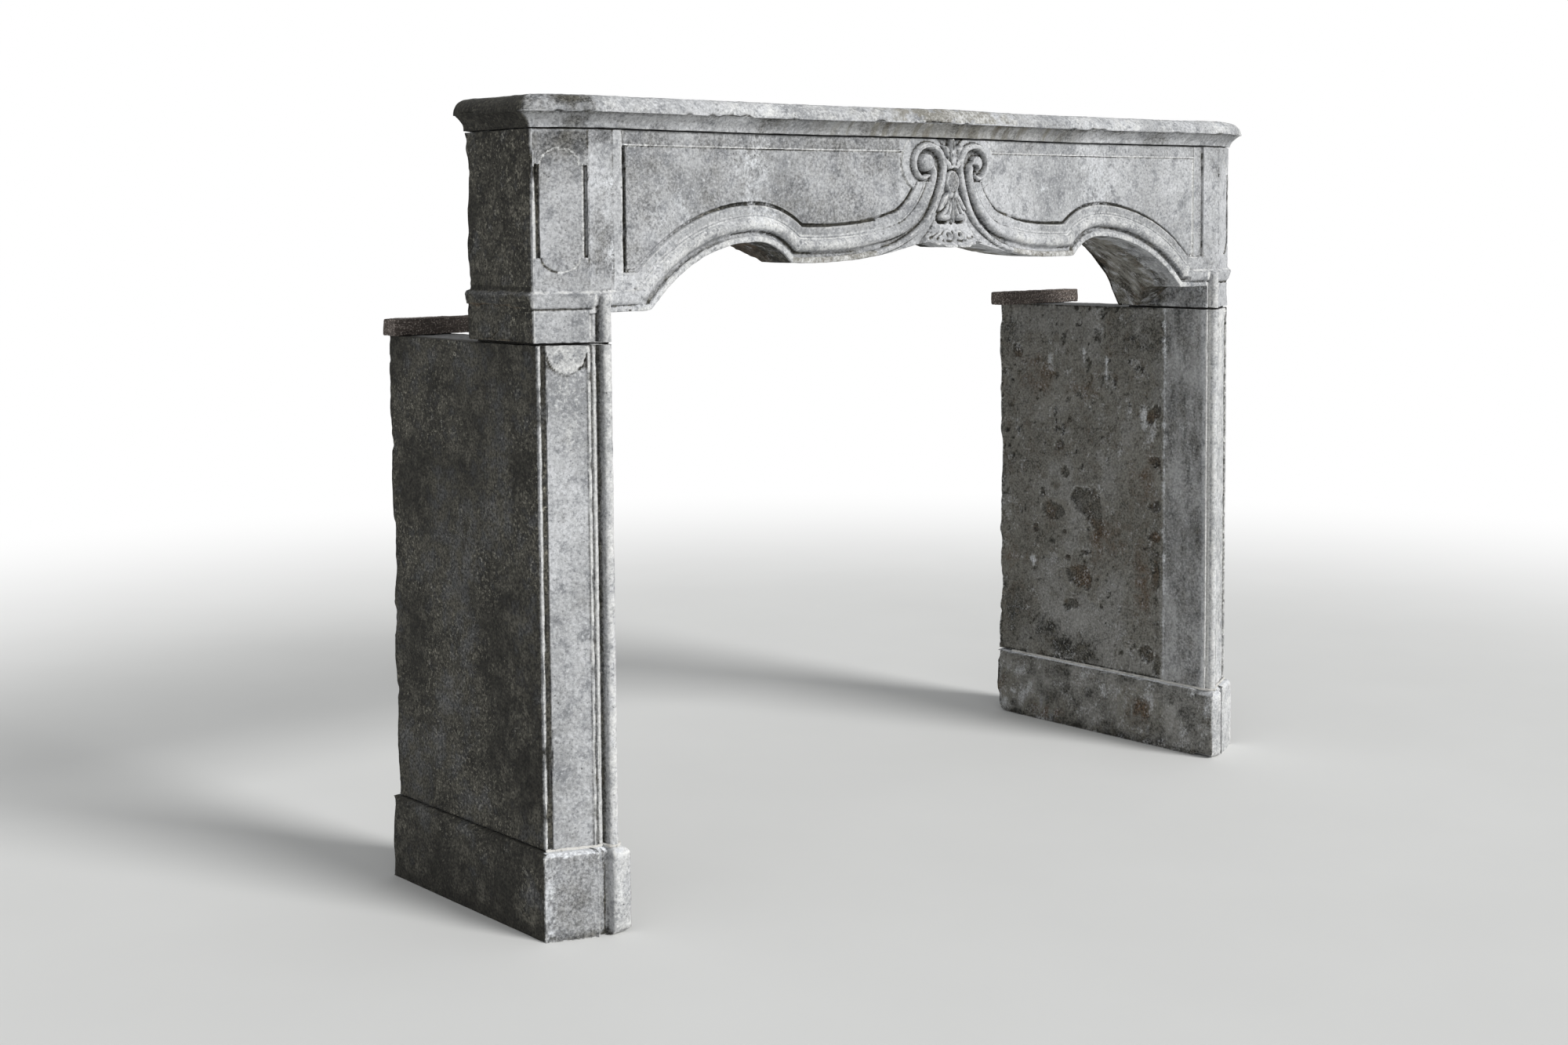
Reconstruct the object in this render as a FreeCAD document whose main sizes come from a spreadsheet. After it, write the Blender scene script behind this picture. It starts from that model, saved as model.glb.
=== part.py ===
import FreeCAD, Part
import os
import re
import Sketcher

# Limestone fireplace mantel: millimetres, +X right, +Y back, +Z up.
# The origin is on the floor, at the middle of the whole piece.
# Depths below are counted back from the front plane, where the canted faces of the jambs start.

SIZES = [
    ("opening_half", 699, "half the clear width between the jambs"),
    ("reveal_width", 36, "lip, roll, quirk, fillet and groove beside the opening"),
    ("cant_run", 69, "width of the canted face, seen from the front"),
    ("cant_rise", 31, "how far the canted face falls back"),
    ("left_jamb_depth", 440, "front plane to the back of the left jamb"),
    ("right_jamb_depth", 528, "front plane to the back of the right jamb"),
    ("jamb_height", 726, "height of a jamb shaft"),
    ("lip_width", 5, "flat lip between the opening and the roll"),
    ("roll_radius", 8, "roll beside the opening"),
    ("roll_lead", 15, "how far the roll stands before the front plane"),
    ("quirk_width", 3, "narrow channel beside the roll"),
    ("reveal_groove", 7, "groove beside the canted face"),
    ("reveal_sink", 7, "depth of that groove and of the quirk"),
    ("fillet_sink", 3, "set-back of the flat fillet"),
    ("margin_width", 3, "outer fillet of the canted face"),
    ("margin_groove", 7, "groove beside that fillet"),
    ("margin_sink", 4, "depth of that groove"),
    ("plinth_height", 129, "height of a plinth"),
    ("plinth_side", 9, "plinth projection at both sides"),
    ("plinth_cant", 13, "plinth projection at the canted face"),
    ("plinth_nose", 25.5, "plinth projection under the roll"),
    ("plinth_nose_width", 33, "width of the rounded nose"),
    ("plinth_hollow", 17, "width of the hollow beside the nose"),
    ("plinth_hollow_sink", 6, "depth of that hollow"),
    ("plinth_nose_round", 8, "rounding of the nose"),
    ("plinth_ledge", 5, "bevel along the top of the plinth"),
    ("bed_thickness", 2, "lime bed between plinth and jamb"),
    ("bed_inset", 10, "lime bed set back from the faces"),
    ("setting_gap", 3, "open joint between jamb and lintel"),
    ("lintel_height", 302, "impost underside to shelf bed"),
    ("lintel_depth", 203, "front plane to the back of the lintel"),
    ("lintel_overhang", 4, "lintel end past the jamb"),
    ("spring_height", 41, "impost underside to the springing ledge"),
    ("spring_ledge", 77, "edge of the opening to the springing of the arch"),
    ("ledge_depth", 100, "front plane to the back of the springing ledge"),
    ("arch_rise", 97, "springing to the top of the shoulder"),
    ("apex_half", 405, "middle to the top of the shoulder"),
    ("shoulder_radius", 90, "inner curve of the shoulder"),
    ("belly_half", 285, "middle to the lowest point of the belly"),
    ("belly_drop", 34.5, "top of the shoulder to the belly"),
    ("belly_radius", 857, "curve of the belly"),
    ("centre_drop", 13, "top of the shoulder to the leaf's foot"),
    ("band_width", 57, "moulded band along the arch"),
    ("torus_width", 30, "torus, cove and lower fillet of that band"),
    ("fascia_sink", 3, "fascia of the band behind the torus"),
    ("panel_sink", 6, "sunk panel behind the torus"),
    ("panel_inset", 27, "edge of the opening to the outer edge of a panel"),
    ("panel_margin", 22, "shelf bed to the top of a panel"),
    ("wave_crest", 6, "middle of the frieze before the front plane"),
    ("wave_valley", 16, "hollow of the frieze behind the front plane"),
    ("valley_half", 370, "middle to that hollow"),
    ("wave_inset", 2, "edge of the opening to where the wave starts"),
    ("volute_half", 60, "middle to the eye of a volute"),
    ("volute_drop", 38, "shelf bed to the eye of a volute"),
    ("volute_radius", 33, "outer radius of a volute"),
    ("volute_relief", 8, "how far a volute stands out"),
    ("ring_radius", 48, "raised field round a volute"),
    ("leaf_relief", 5, "how far the carved leaf stands out"),
    ("leaf_foot", 150, "width of the leaf at its foot"),
    ("leaf_waist", 42, "width of the leaf between the volutes"),
    ("leaf_height", 92, "foot of the leaf to its waist"),
    ("astragal_lift", 9, "springing ledge to the astragal"),
    ("astragal_height", 21, "height of the astragal"),
    ("astragal_projection", 6, "how far the astragal stands out"),
    ("shelf_bed_thickness", 1.5, "lime bed between lintel and shelf"),
    ("shelf_bed_inset", 40, "that bed set back from the faces"),
    ("shelf_height", 47.5, "height of the shelf slab"),
    ("shelf_projection", 22, "how far the shelf stands out"),
    ("nose_height", 25, "upper, rounded part of the shelf"),
    ("nose_round", 16, "rounding of that part"),
    ("neck_projection", 11, "lower part of the shelf past the frieze"),
    ("dowel_radius", 6, "iron dowels in the jamb joints"),
    ("dowel_clearance", 0.5, "round each dowel"),
    ("dowel_headroom", 2, "above each dowel"),
    ("plinth_dowel_length", 120, "dowel between plinth and jamb"),
    ("plinth_dowel_depth", 120, "front plane to the first of these"),
    ("plinth_dowel_spacing", 200, "from the first to the second"),
    ("lintel_dowel_length", 100, "dowel between jamb and lintel"),
    ("lintel_dowel_depth", 78, "front plane to the first of these"),
    ("lintel_dowel_spacing", 70, "from the first to the second"),
    ("shelf_dowel_radius", 5, "iron dowels between lintel and shelf"),
    ("shelf_dowel_length", 48, "length of these"),
    ("shelf_dowel_half", 500, "middle to the outer ones"),
    ("shelf_dowel_depth", 130, "front plane to these"),
    ("shim_length", 50, "lead shim, across the jamb"),
    ("shim_width", 24, "lead shim, front to back"),
    ("shim_depth", 42, "front plane to the first shim"),
    ("shim_spacing", 60, "from shim to shim"),
    ("batten_height", 27, "timber batten"),
    ("batten_width", 37, "timber batten, front to back"),
    ("left_batten_length", 174, "left batten"),
    ("left_batten_overhang", 10, "left batten past the jamb"),
    ("left_batten_inset", 3, "left batten before the jamb's back"),
    ("right_batten_length", 230, "right batten"),
    ("right_batten_overhang", 26, "right batten past the jamb"),
    ("right_batten_inset", 66, "right batten before the jamb's back"),
    ("tool_reach", 60, "how far a cutting shape runs past the stone"),
]

doc = FreeCAD.newDocument("fireplace_mantel")
dims = doc.addObject("Spreadsheet::Sheet", "dims")
for row, (alias, size, meaning) in enumerate(SIZES, start=1):
    dims.set(f"A{row}", meaning)
    dims.set(f"B{row}", str(size))
    dims.setAlias(f"B{row}", alias)
doc.recompute()

# Places that several pieces share, worked out from the sizes.
FRONT = "(wave_crest + shelf_projection - right_jamb_depth) / 2"
JAMB_FOOT = "plinth_height + bed_thickness"
JAMB_TOP = f"{JAMB_FOOT} + jamb_height"
LINTEL_FOOT = f"{JAMB_TOP} + setting_gap"
LINTEL_TOP = f"{LINTEL_FOOT} + lintel_height"
SHELF_FOOT = f"{LINTEL_TOP} + shelf_bed_thickness"
SPRING = f"{LINTEL_FOOT} + spring_height"
APEX = f"{SPRING} + arch_rise"
SPRING_HALF = "(opening_half - spring_ledge)"
PANEL_HALF = "(opening_half - panel_inset)"
WAVE_HALF = "(opening_half - wave_inset)"
HAUNCH_RADIUS = f"(({SPRING_HALF} - apex_half) ^ 2 + arch_rise ^ 2) / (2 * arch_rise)"
ROLL_AXIS = "(roll_radius - roll_lead)"
ROLL_MIDDLE = "(opening_half + lip_width + roll_radius)"
ROLL_END = "(opening_half + lip_width + 2 * roll_radius)"
CANT_FOOT = "(opening_half + reveal_width)"
JAMB_OUTER = f"({CANT_FOOT} + cant_run)"
JAMB_MIDDLE = f"(opening_half + {JAMB_OUTER}) / 2"
LINTEL_OUTER = f"({JAMB_OUTER} + lintel_overhang)"
LINTEL_RISE = "cant_rise * (cant_run + lintel_overhang) / cant_run"
CANT_LENGTH = "sqrt(cant_run ^ 2 + cant_rise ^ 2)"
SIDES = {"left": -1, "right": 1}
pieces = []


# Formulas: the sheet's name goes before every size.
def ex(text):
    return re.sub(r"\b(?!sqrt\b)[a-z]\w*", r"dims.\g<0>", text)


def number(text):
    return float(dims.evalExpression(ex(text)))


def bind(thing, **formulas):
    for name, text in formulas.items():
        thing.setExpression(name, ex(text))


def place(thing, x, depth, z):
    for axis, text in (("x", x), ("y", f"{FRONT} + {depth}"), ("z", z)):
        thing.setExpression(f"Placement.Base.{axis}", ex(text))


def finish(piece, label):
    piece.Label = label
    pieces.append(piece)


# Plain shapes, each placed by its left, front, bottom corner or by its axis.
def box(name, x, depth, z, length, width, height):
    block = doc.addObject("Part::Box", name)
    bind(block, Length=length, Width=width, Height=height)
    place(block, x, depth, z)
    return block


def upright(name, x, depth, z, radius, height):
    post = doc.addObject("Part::Cylinder", name)
    bind(post, Radius=radius, Height=height)
    place(post, x, depth, z)
    return post


def drum(name, x, depth, z, radius, length):
    roller = doc.addObject("Part::Cylinder", name)
    roller.Placement.Rotation = FreeCAD.Rotation(FreeCAD.Vector(1, 0, 0), -90)
    bind(roller, Radius=radius, Height=length)
    place(roller, x, depth, z)
    return roller


def fuse(name, shapes):
    whole = doc.addObject("Part::MultiFuse", name)
    whole.Shapes = shapes
    return whole


def common(name, shapes):
    shared = doc.addObject("Part::MultiCommon", name)
    shared.Shapes = shapes
    return shared


def cut(name, base, tools):
    rest = doc.addObject("Part::Cut", name)
    rest.Base = base
    rest.Tool = tools[0] if len(tools) == 1 else fuse(f"{name}_tools", tools)
    return rest


def group(name, solids):
    together = doc.addObject("Part::Compound", name)
    together.Links = solids
    return together


# The arc from start to end that turns left (1) or right (-1).
def arc_between(start, end, radius, turn):
    chord = end - start
    aside = FreeCAD.Vector(-chord.y, chord.x, 0).normalize() * turn
    centre = (start + end) * 0.5 + aside * (radius ** 2 - chord.Length ** 2 / 4) ** 0.5
    circle = Part.Circle(centre, FreeCAD.Vector(0, 0, 1), radius)
    ends = (start, end) if turn > 0 else (end, start)
    first, last = (circle.parameter(point) for point in ends)
    return Part.ArcOfCircle(circle, first, last)


# A body padded up from its plan: corners of x, depth and, where an arc starts, (radius, turn).
def slab(name, corners, base, height):
    body = doc.addObject("PartDesign::Body", name)
    place(body, "0", "0", base)
    sketch = body.newObject("Sketcher::SketchObject", f"{name}_plan")
    floor = next(item for item in body.Origin.OriginFeatures if item.Role == "XY_Plane")
    sketch.AttachmentSupport = [(floor, "")]
    sketch.MapMode = "FlatFace"

    def drive(constraint, text):
        item = sketch.addConstraint(constraint)
        sketch.setExpression(f"Constraints[{item}]", ex(text))

    points = [FreeCAD.Vector(number(x), number(depth), 0) for x, depth, *_ in corners]
    ends = []
    for (x, depth, *bend), start, end in zip(corners, points, points[1:] + points[:1]):
        if bend:
            radius, turn = bend[0]
            edge = sketch.addGeometry(arc_between(start, end, number(radius), turn))
            drive(Sketcher.Constraint("Radius", edge, number(radius)), radius)
        else:
            turn = 1
            edge = sketch.addGeometry(Part.LineSegment(start, end))
        first, last = (1, 2) if turn > 0 else (2, 1)
        drive(Sketcher.Constraint("DistanceX", -1, 1, edge, first, start.x), x)
        drive(Sketcher.Constraint("DistanceY", -1, 1, edge, first, start.y), depth)
        ends.append((edge, first, last))
    for (edge, _, last), (following, first, _) in zip(ends, ends[1:] + ends[:1]):
        sketch.addConstraint(Sketcher.Constraint("Coincident", edge, last, following, first))
    pad = body.newObject("PartDesign::Pad", f"{name}_pad")
    pad.Profile = sketch
    bind(pad, Length=height)
    return body


# Round or bevel the edges of a body that a test picks by direction and middle.
def ease_edges(body, kind, size, wanted):
    doc.recompute()
    base = body.Tip
    names = []
    for index, edge in enumerate(base.Shape.Edges, start=1):
        middle = edge.valueAt((edge.FirstParameter + edge.LastParameter) / 2)
        if wanted(edge, middle):
            names.append(f"Edge{index}")
    feature = body.newObject(f"PartDesign::{kind}", f"{body.Name}_{kind.lower()}")
    feature.Base = (base, names)
    feature.setExpression("Radius" if kind == "Fillet" else "Size", ex(size))


def is_upright(edge):
    ends = [vertex.Point for vertex in edge.Vertexes]
    return len(ends) == 2 and abs(ends[0].z - ends[1].z) > edge.Length / 2


# The serpentine front from left to right, as arcs, moved back by a shift.
def wave(shift):
    fall = "(wave_valley + wave_crest)"
    outer = f"(({WAVE_HALF} - valley_half) ^ 2 + wave_valley ^ 2) / (4 * wave_valley)"
    inner = f"(valley_half ^ 2 + {fall} ^ 2) / (4 * {fall})"
    stations = [
        (f"-{WAVE_HALF}", "0", [(outer, 1)]),
        (f"-({WAVE_HALF} + valley_half) / 2", "wave_valley / 2", [(outer, -1)]),
        ("-(valley_half)", "wave_valley", [(inner, -1)]),
        ("-(valley_half) / 2", "(wave_valley - wave_crest) / 2", [(inner, 1)]),
        ("0", "-(wave_crest)", [(inner, 1)]),
        ("valley_half / 2", "(wave_valley - wave_crest) / 2", [(inner, -1)]),
        ("valley_half", "wave_valley", [(outer, -1)]),
        (f"({WAVE_HALF} + valley_half) / 2", "wave_valley / 2", [(outer, 1)]),
        (WAVE_HALF, "0", []),
    ]
    return [(x, f"{depth} + {shift}", *bend) for x, depth, bend in stations]


# Half of the plan round an end of the lintel, grown by an outset.
def canted_end(outset):
    forward = f"{outset} * cant_run / ({CANT_LENGTH} + cant_rise)"
    outward = f"{outset} * cant_rise / ({CANT_LENGTH} + cant_run)"
    return [
        (f"{CANT_FOOT} + {outward}", f"-({outset})"),
        (f"{LINTEL_OUTER} + {outset}", f"{LINTEL_RISE} - {forward}"),
        (f"{LINTEL_OUTER} + {outset}", "lintel_depth"),
    ]


def mirrored(corners, side):
    return [(f"{side} * ({x})", depth) for x, depth in corners]


# The whole plan of the lintel, grown by an outset.
def lintel_plan(outset):
    end = canted_end(outset)
    return mirrored(end[::-1], -1) + wave(f"(-({outset}))") + end


# All that lies before the serpentine front, moved back by a sink.
def front_layer(name, sink):
    start = "-(2 * tool_reach)"
    path = wave(sink)
    corners = [(f"-{WAVE_HALF}", start), *path, (WAVE_HALF, start)]
    return slab(name, corners, LINTEL_FOOT, "lintel_height")


# The space under the arch, its curve raised by a lift.
def arch_space(name, lift):
    start, through = "-(2 * tool_reach)", "lintel_depth + 3 * tool_reach"
    foot = f"{LINTEL_FOOT} - tool_reach"
    low = box(f"{name}_low", "-(opening_half)", start, foot, "2 * opening_half",
              "2 * tool_reach + ledge_depth", f"tool_reach + spring_height + {lift}")
    middle = box(f"{name}_middle", "-(apex_half)", start, foot, "2 * apex_half", through,
                 f"tool_reach + spring_height + arch_rise - centre_drop + {lift}")
    curves = []
    bellies = []
    for word, side in SIDES.items():
        for part, radius, outward in (("haunch", HAUNCH_RADIUS, side),
                                      ("shoulder", "shoulder_radius", -side)):
            sweep = f"({radius} + {lift})"
            round_space = drum(f"{name}_{word}_{part}", f"{side} * apex_half", start, f"{APEX} - {radius}",
                               sweep, through)
            corner = f"{side} * apex_half" if outward > 0 else f"{side} * apex_half - {sweep}"
            quarter = box(f"{name}_{word}_{part}_quarter", corner, start, f"{APEX} - {radius}",
                          sweep, through, sweep)
            curves.append(common(f"{name}_{word}_{part}_space", [round_space, quarter]))
        bellies.append(drum(f"{name}_{word}_belly", f"{side} * belly_half", start,
                            f"{APEX} - belly_drop + belly_radius", f"belly_radius - {lift}", through))
    return fuse(name, [low, cut(f"{name}_under", middle, bellies), *curves])


# Dowels in one joint: the rods are a piece, and the wider bores come back as cutting shapes.
def dowels(label, spots, foot, radius, length):
    rods = []
    bores = []
    for index, (x, depth) in enumerate(spots):
        rods.append(upright(f"{label}_rod_{index}", x, depth, foot, radius, length))
        bores.append(upright(f"{label}_bore_{index}", x, depth, foot, f"{radius} + dowel_clearance",
                             f"{length} + dowel_headroom"))
    finish(group(f"{label}_group", rods), label)
    return bores


# A point on the canted face, counted from its inner edge, and sunk below it.
def on_cant(along, sink):
    x = f"{CANT_FOOT} + (({along}) * cant_run - {sink} * cant_rise) / {CANT_LENGTH}"
    depth = f"(({along}) * cant_rise + {sink} * cant_run) / {CANT_LENGTH}"
    return x, depth


def jamb(word, side, bores):
    depth = f"{word}_jamb_depth"
    groove_start = f"{CANT_LENGTH} - margin_width - margin_groove"
    groove_end = f"{CANT_LENGTH} - margin_width"
    corners = [
        ("opening_half", depth),
        ("opening_half", "0"),
        ("opening_half + lip_width", "0"),
        ("opening_half + lip_width", ROLL_AXIS),
        (ROLL_END, ROLL_AXIS),
        (ROLL_END, "reveal_sink"),
        (f"{ROLL_END} + quirk_width", "reveal_sink"),
        (f"{ROLL_END} + quirk_width", "fillet_sink"),
        (f"{CANT_FOOT} - reveal_groove", "fillet_sink"),
        (f"{CANT_FOOT} - reveal_groove", "reveal_sink"),
        (CANT_FOOT, "reveal_sink"),
        (CANT_FOOT, "0"),
        on_cant(groove_start, "0"),
        on_cant(groove_start, "margin_sink"),
        on_cant(groove_end, "margin_sink"),
        on_cant(groove_end, "0"),
        (JAMB_OUTER, "cant_rise"),
        (JAMB_OUTER, depth),
    ]
    shaft = slab(f"{word}_shaft", mirrored(corners, side), JAMB_FOOT, "jamb_height")
    roll = upright(f"{word}_roll", f"{side} * {ROLL_MIDDLE}", ROLL_AXIS,
                   JAMB_FOOT, "roll_radius", "jamb_height")
    finish(cut(f"{word}_drilled_jamb", fuse(f"{word}_rolled_shaft", [shaft, roll]), bores), f"{word}_jamb")


def plinth(word, side, bores):
    depth = f"{word}_jamb_depth"
    nose_end = "opening_half - plinth_side + plinth_nose_width"
    hollow_end = f"{nose_end} + plinth_hollow"
    outer = f"{JAMB_OUTER} + plinth_side"
    slope = "cant_rise / cant_run"
    lead = f"plinth_cant * {CANT_LENGTH} / cant_run"
    cant_start = f"({hollow_end} - {CANT_FOOT}) * {slope} - {lead}"
    corners = [
        ("opening_half - plinth_side", depth),
        ("opening_half - plinth_side", "-(plinth_nose)"),
        (nose_end, "-(plinth_nose)"),
        (nose_end, f"{cant_start} + plinth_hollow_sink"),
        (hollow_end, f"{cant_start} + plinth_hollow_sink"),
        (hollow_end, cant_start),
        (outer, f"({outer} - {CANT_FOOT}) * {slope} - {lead}"),
        (outer, depth),
    ]
    block = slab(f"{word}_block", mirrored(corners, side), "0", "plinth_height")
    nose_front, top = -number("plinth_nose"), number("plinth_height")
    ease_edges(block, "Fillet", "plinth_nose_round",
               lambda edge, middle: is_upright(edge) and abs(middle.y - nose_front) < 1)
    ease_edges(block, "Chamfer", "plinth_ledge",
               lambda edge, middle: abs(middle.z - top) < 1 and middle.y < number(depth) - 1)
    finish(cut(f"{word}_drilled_block", block, bores), f"{word}_plinth")


def plinth_bed(word, side, bores):
    inner = "opening_half + bed_inset" if side > 0 else f"-({JAMB_OUTER}) + bed_inset"
    bed = box(f"{word}_bed", inner, "cant_rise + bed_inset", "plinth_height",
              f"{JAMB_OUTER} - opening_half - 2 * bed_inset",
              f"{word}_jamb_depth - cant_rise - 2 * bed_inset", "bed_thickness")
    finish(cut(f"{word}_drilled_bed", bed, bores), f"{word}_plinth_bed")


def setting_shims(word, side):
    shims = [
        box(f"{word}_shim_{index}", f"{side} * {JAMB_MIDDLE} - shim_length / 2",
            f"shim_depth + {index} * shim_spacing", JAMB_TOP, "shim_length", "shim_width", "setting_gap")
        for index in range(3)
    ]
    finish(group(f"{word}_shims", shims), f"{word}_setting_shims")


def batten(word, side):
    length = f"{word}_batten_length"
    end = f"{JAMB_OUTER} + {word}_batten_overhang"
    x = f"{end} - {length}" if side > 0 else f"-({end})"
    depth = f"{word}_jamb_depth - {word}_batten_inset - batten_width"
    bar = box(f"{word}_bar", x, depth, JAMB_TOP, length, "batten_width", "batten_height")
    finish(bar, f"{word}_batten")


# The block over each jamb, with the roll and the fillet carried up to the astragal.
def impost_cuts(word, side):
    x = "opening_half" if side > 0 else f"-{CANT_FOOT}"
    return box(f"{word}_impost_cut", x, "-(tool_reach)", LINTEL_FOOT,
               "reveal_width", "tool_reach + reveal_sink", "spring_height + astragal_lift")


def impost_mouldings(word, side):
    height = "spring_height + astragal_lift"
    roll_height = f"{height} + astragal_height"
    fillet_width = "reveal_width - reveal_groove - quirk_width - 2 * roll_radius - lip_width"
    fillet_x = f"{ROLL_END} + quirk_width" if side > 0 else f"-({CANT_FOOT} - reveal_groove)"
    neck_x = "opening_half + lip_width" if side > 0 else f"-{ROLL_END}"
    lip_x = "opening_half" if side > 0 else "-(opening_half + lip_width)"
    lip = box(f"{word}_impost_lip", lip_x, "0", LINTEL_FOOT, "lip_width", "roll_radius", height)
    roll = upright(f"{word}_impost_roll", f"{side} * {ROLL_MIDDLE}", ROLL_AXIS,
                   LINTEL_FOOT, "roll_radius", roll_height)
    neck = box(f"{word}_impost_neck", neck_x, ROLL_AXIS, LINTEL_FOOT,
               "2 * roll_radius", "roll_lead", roll_height)
    fillet = box(f"{word}_impost_fillet", fillet_x, "fillet_sink", LINTEL_FOOT,
                 fillet_width, "roll_radius", height)
    end = canted_end("astragal_projection")
    ring = [(SPRING_HALF, "-(astragal_projection)"), *end, (SPRING_HALF, "lintel_depth")]
    astragal_foot = f"{SPRING} + astragal_lift"
    astragal = slab(f"{word}_astragal", mirrored(ring, side), astragal_foot, "astragal_height")
    return [lip, roll, neck, fillet, astragal]


# The carved middle: two volutes, the leaf's foot and its head.
def carving():
    eye = f"{LINTEL_TOP} - volute_drop"
    volutes = [
        drum(f"{word}_volute", f"{side} * volute_half", "-(wave_crest + volute_relief)", eye,
             "volute_radius", "tool_reach")
        for word, side in SIDES.items()
    ]
    foot = doc.addObject("Part::Wedge", "leaf_foot_wedge")
    foot.Placement.Rotation = FreeCAD.Rotation(FreeCAD.Vector(1, 0, 0), 90)
    thick = "tool_reach + wave_crest + leaf_relief"
    bind(foot, Xmin="-(leaf_foot) / 2", Xmax="leaf_foot / 2", Ymin="0", Ymax="leaf_height",
         X2min="-(leaf_waist) / 2", X2max="leaf_waist / 2", Zmin="0", Zmax=thick, Z2min="0", Z2max=thick)
    leaf_base = f"{APEX} - centre_drop"
    head_base = f"{leaf_base} + leaf_height"
    place(foot, "0", "tool_reach", leaf_base)
    head = box("leaf_head", "-(leaf_waist) / 2", "-(wave_crest + leaf_relief)", head_base,
               "leaf_waist", thick, "lintel_height - spring_height - arch_rise + centre_drop - leaf_height")
    return [*volutes, foot, head]


def lintel(bores):
    blank = slab("lintel_blank", lintel_plan("0"), LINTEL_FOOT, "lintel_height")
    cleared = cut("lintel_cleared", blank, [impost_cuts(word, side) for word, side in SIDES.items()])
    mouldings = [shape for word, side in SIDES.items() for shape in impost_mouldings(word, side)]
    carved = fuse("lintel_carved", [cleared, *mouldings, *carving()])
    opening = arch_space("arch_opening", "0")
    band_edge = arch_space("arch_band", "band_width")
    torus_edge = arch_space("arch_torus", "torus_width")
    field_foot = f"{SPRING} + torus_width"
    field = box("panel_field", f"-{PANEL_HALF}", "-(2 * tool_reach)", field_foot, f"2 * {PANEL_HALF}",
                "4 * tool_reach", "lintel_height - spring_height - torus_width - panel_margin")
    rings = [
        drum(f"{word}_ring", f"{side} * volute_half", "-(2 * tool_reach)", f"{LINTEL_TOP} - volute_drop",
             "ring_radius", "4 * tool_reach")
        for word, side in SIDES.items()
    ]
    core = box("carved_core", "-(volute_half + ring_radius)", "-(2 * tool_reach)", LINTEL_FOOT,
               "2 * (volute_half + ring_radius)", "4 * tool_reach", "lintel_height - volute_drop")
    panel_sheet = common("panel_sheet", [front_layer("panel_layer", "panel_sink"), field])
    panels = cut("sunk_panels", panel_sheet, [band_edge, core, *rings])
    fascia_sheet = common("fascia_sheet", [front_layer("fascia_layer", "fascia_sink"), field, band_edge])
    fascia = cut("sunk_fascia", fascia_sheet, [torus_edge, core])
    finish(cut("lintel_drilled", carved, [opening, panels, fascia, *bores]), "lintel")


def mantel_shelf(bores):
    neck_height = "(shelf_height - nose_height)"
    nose_foot = f"{SHELF_FOOT} + {neck_height}"
    neck = slab("shelf_neck", lintel_plan("neck_projection"), SHELF_FOOT, neck_height)
    nose = slab("shelf_nose", lintel_plan("shelf_projection"), nose_foot, "nose_height")
    top, back = number("nose_height"), number("lintel_depth")
    ease_edges(nose, "Fillet", "nose_round",
               lambda edge, middle: abs(middle.z - top) < 1 and middle.y < back - 1)
    finish(cut("shelf_drilled", fuse("shelf_slab", [neck, nose]), bores), "mantel_shelf")


def shelf_bed(bores):
    bed = box("shelf_lime", f"-{LINTEL_OUTER} + shelf_bed_inset", "shelf_bed_inset", LINTEL_TOP,
              f"2 * ({LINTEL_OUTER} - shelf_bed_inset)", "lintel_depth - 2 * shelf_bed_inset",
              "shelf_bed_thickness")
    finish(cut("shelf_lime_drilled", bed, bores), "shelf_bed")


lintel_bores = []
for word, side in SIDES.items():
    middle = f"{side} * {JAMB_MIDDLE}"
    plinth_spots = [(middle, f"plinth_dowel_depth + {index} * plinth_dowel_spacing") for index in range(2)]
    plinth_bores = dowels(f"{word}_plinth_dowels", plinth_spots, "plinth_height - plinth_dowel_length / 2",
                          "dowel_radius", "plinth_dowel_length")
    lintel_spots = [(middle, f"lintel_dowel_depth + {index} * lintel_dowel_spacing") for index in range(2)]
    head_bores = dowels(f"{word}_lintel_dowels", lintel_spots, f"{JAMB_TOP} - lintel_dowel_length / 2",
                        "dowel_radius", "lintel_dowel_length")
    plinth(word, side, plinth_bores)
    plinth_bed(word, side, plinth_bores)
    jamb(word, side, plinth_bores + head_bores)
    setting_shims(word, side)
    batten(word, side)
    lintel_bores += head_bores

shelf_spots = [(f"{step} * shelf_dowel_half", "shelf_dowel_depth") for step in (-1, 0, 1)]
shelf_bores = dowels("shelf_dowels", shelf_spots, f"{LINTEL_TOP} - shelf_dowel_length / 2",
                     "shelf_dowel_radius", "shelf_dowel_length")
lintel(lintel_bores + shelf_bores)
shelf_bed(shelf_bores)
mantel_shelf(shelf_bores)

# Every object has to be sound before anything is written.
doc.recompute()
for thing in doc.Objects:
    if {"Invalid", "Error"} & set(thing.State):
        raise RuntimeError(f"{thing.Name} failed: {thing.State}")
os.makedirs("parts", exist_ok=True)
for piece in pieces:
    if piece.Shape.isNull() or not piece.Shape.isValid():
        raise RuntimeError(f"{piece.Label} has no sound shape")
for piece in pieces:
    piece.Shape.exportStep(f"parts/{piece.Label}.step")
    print(piece.Label, len(piece.Shape.Solids), "solids", round(piece.Shape.Volume / 1e6, 3), "litres")
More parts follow.
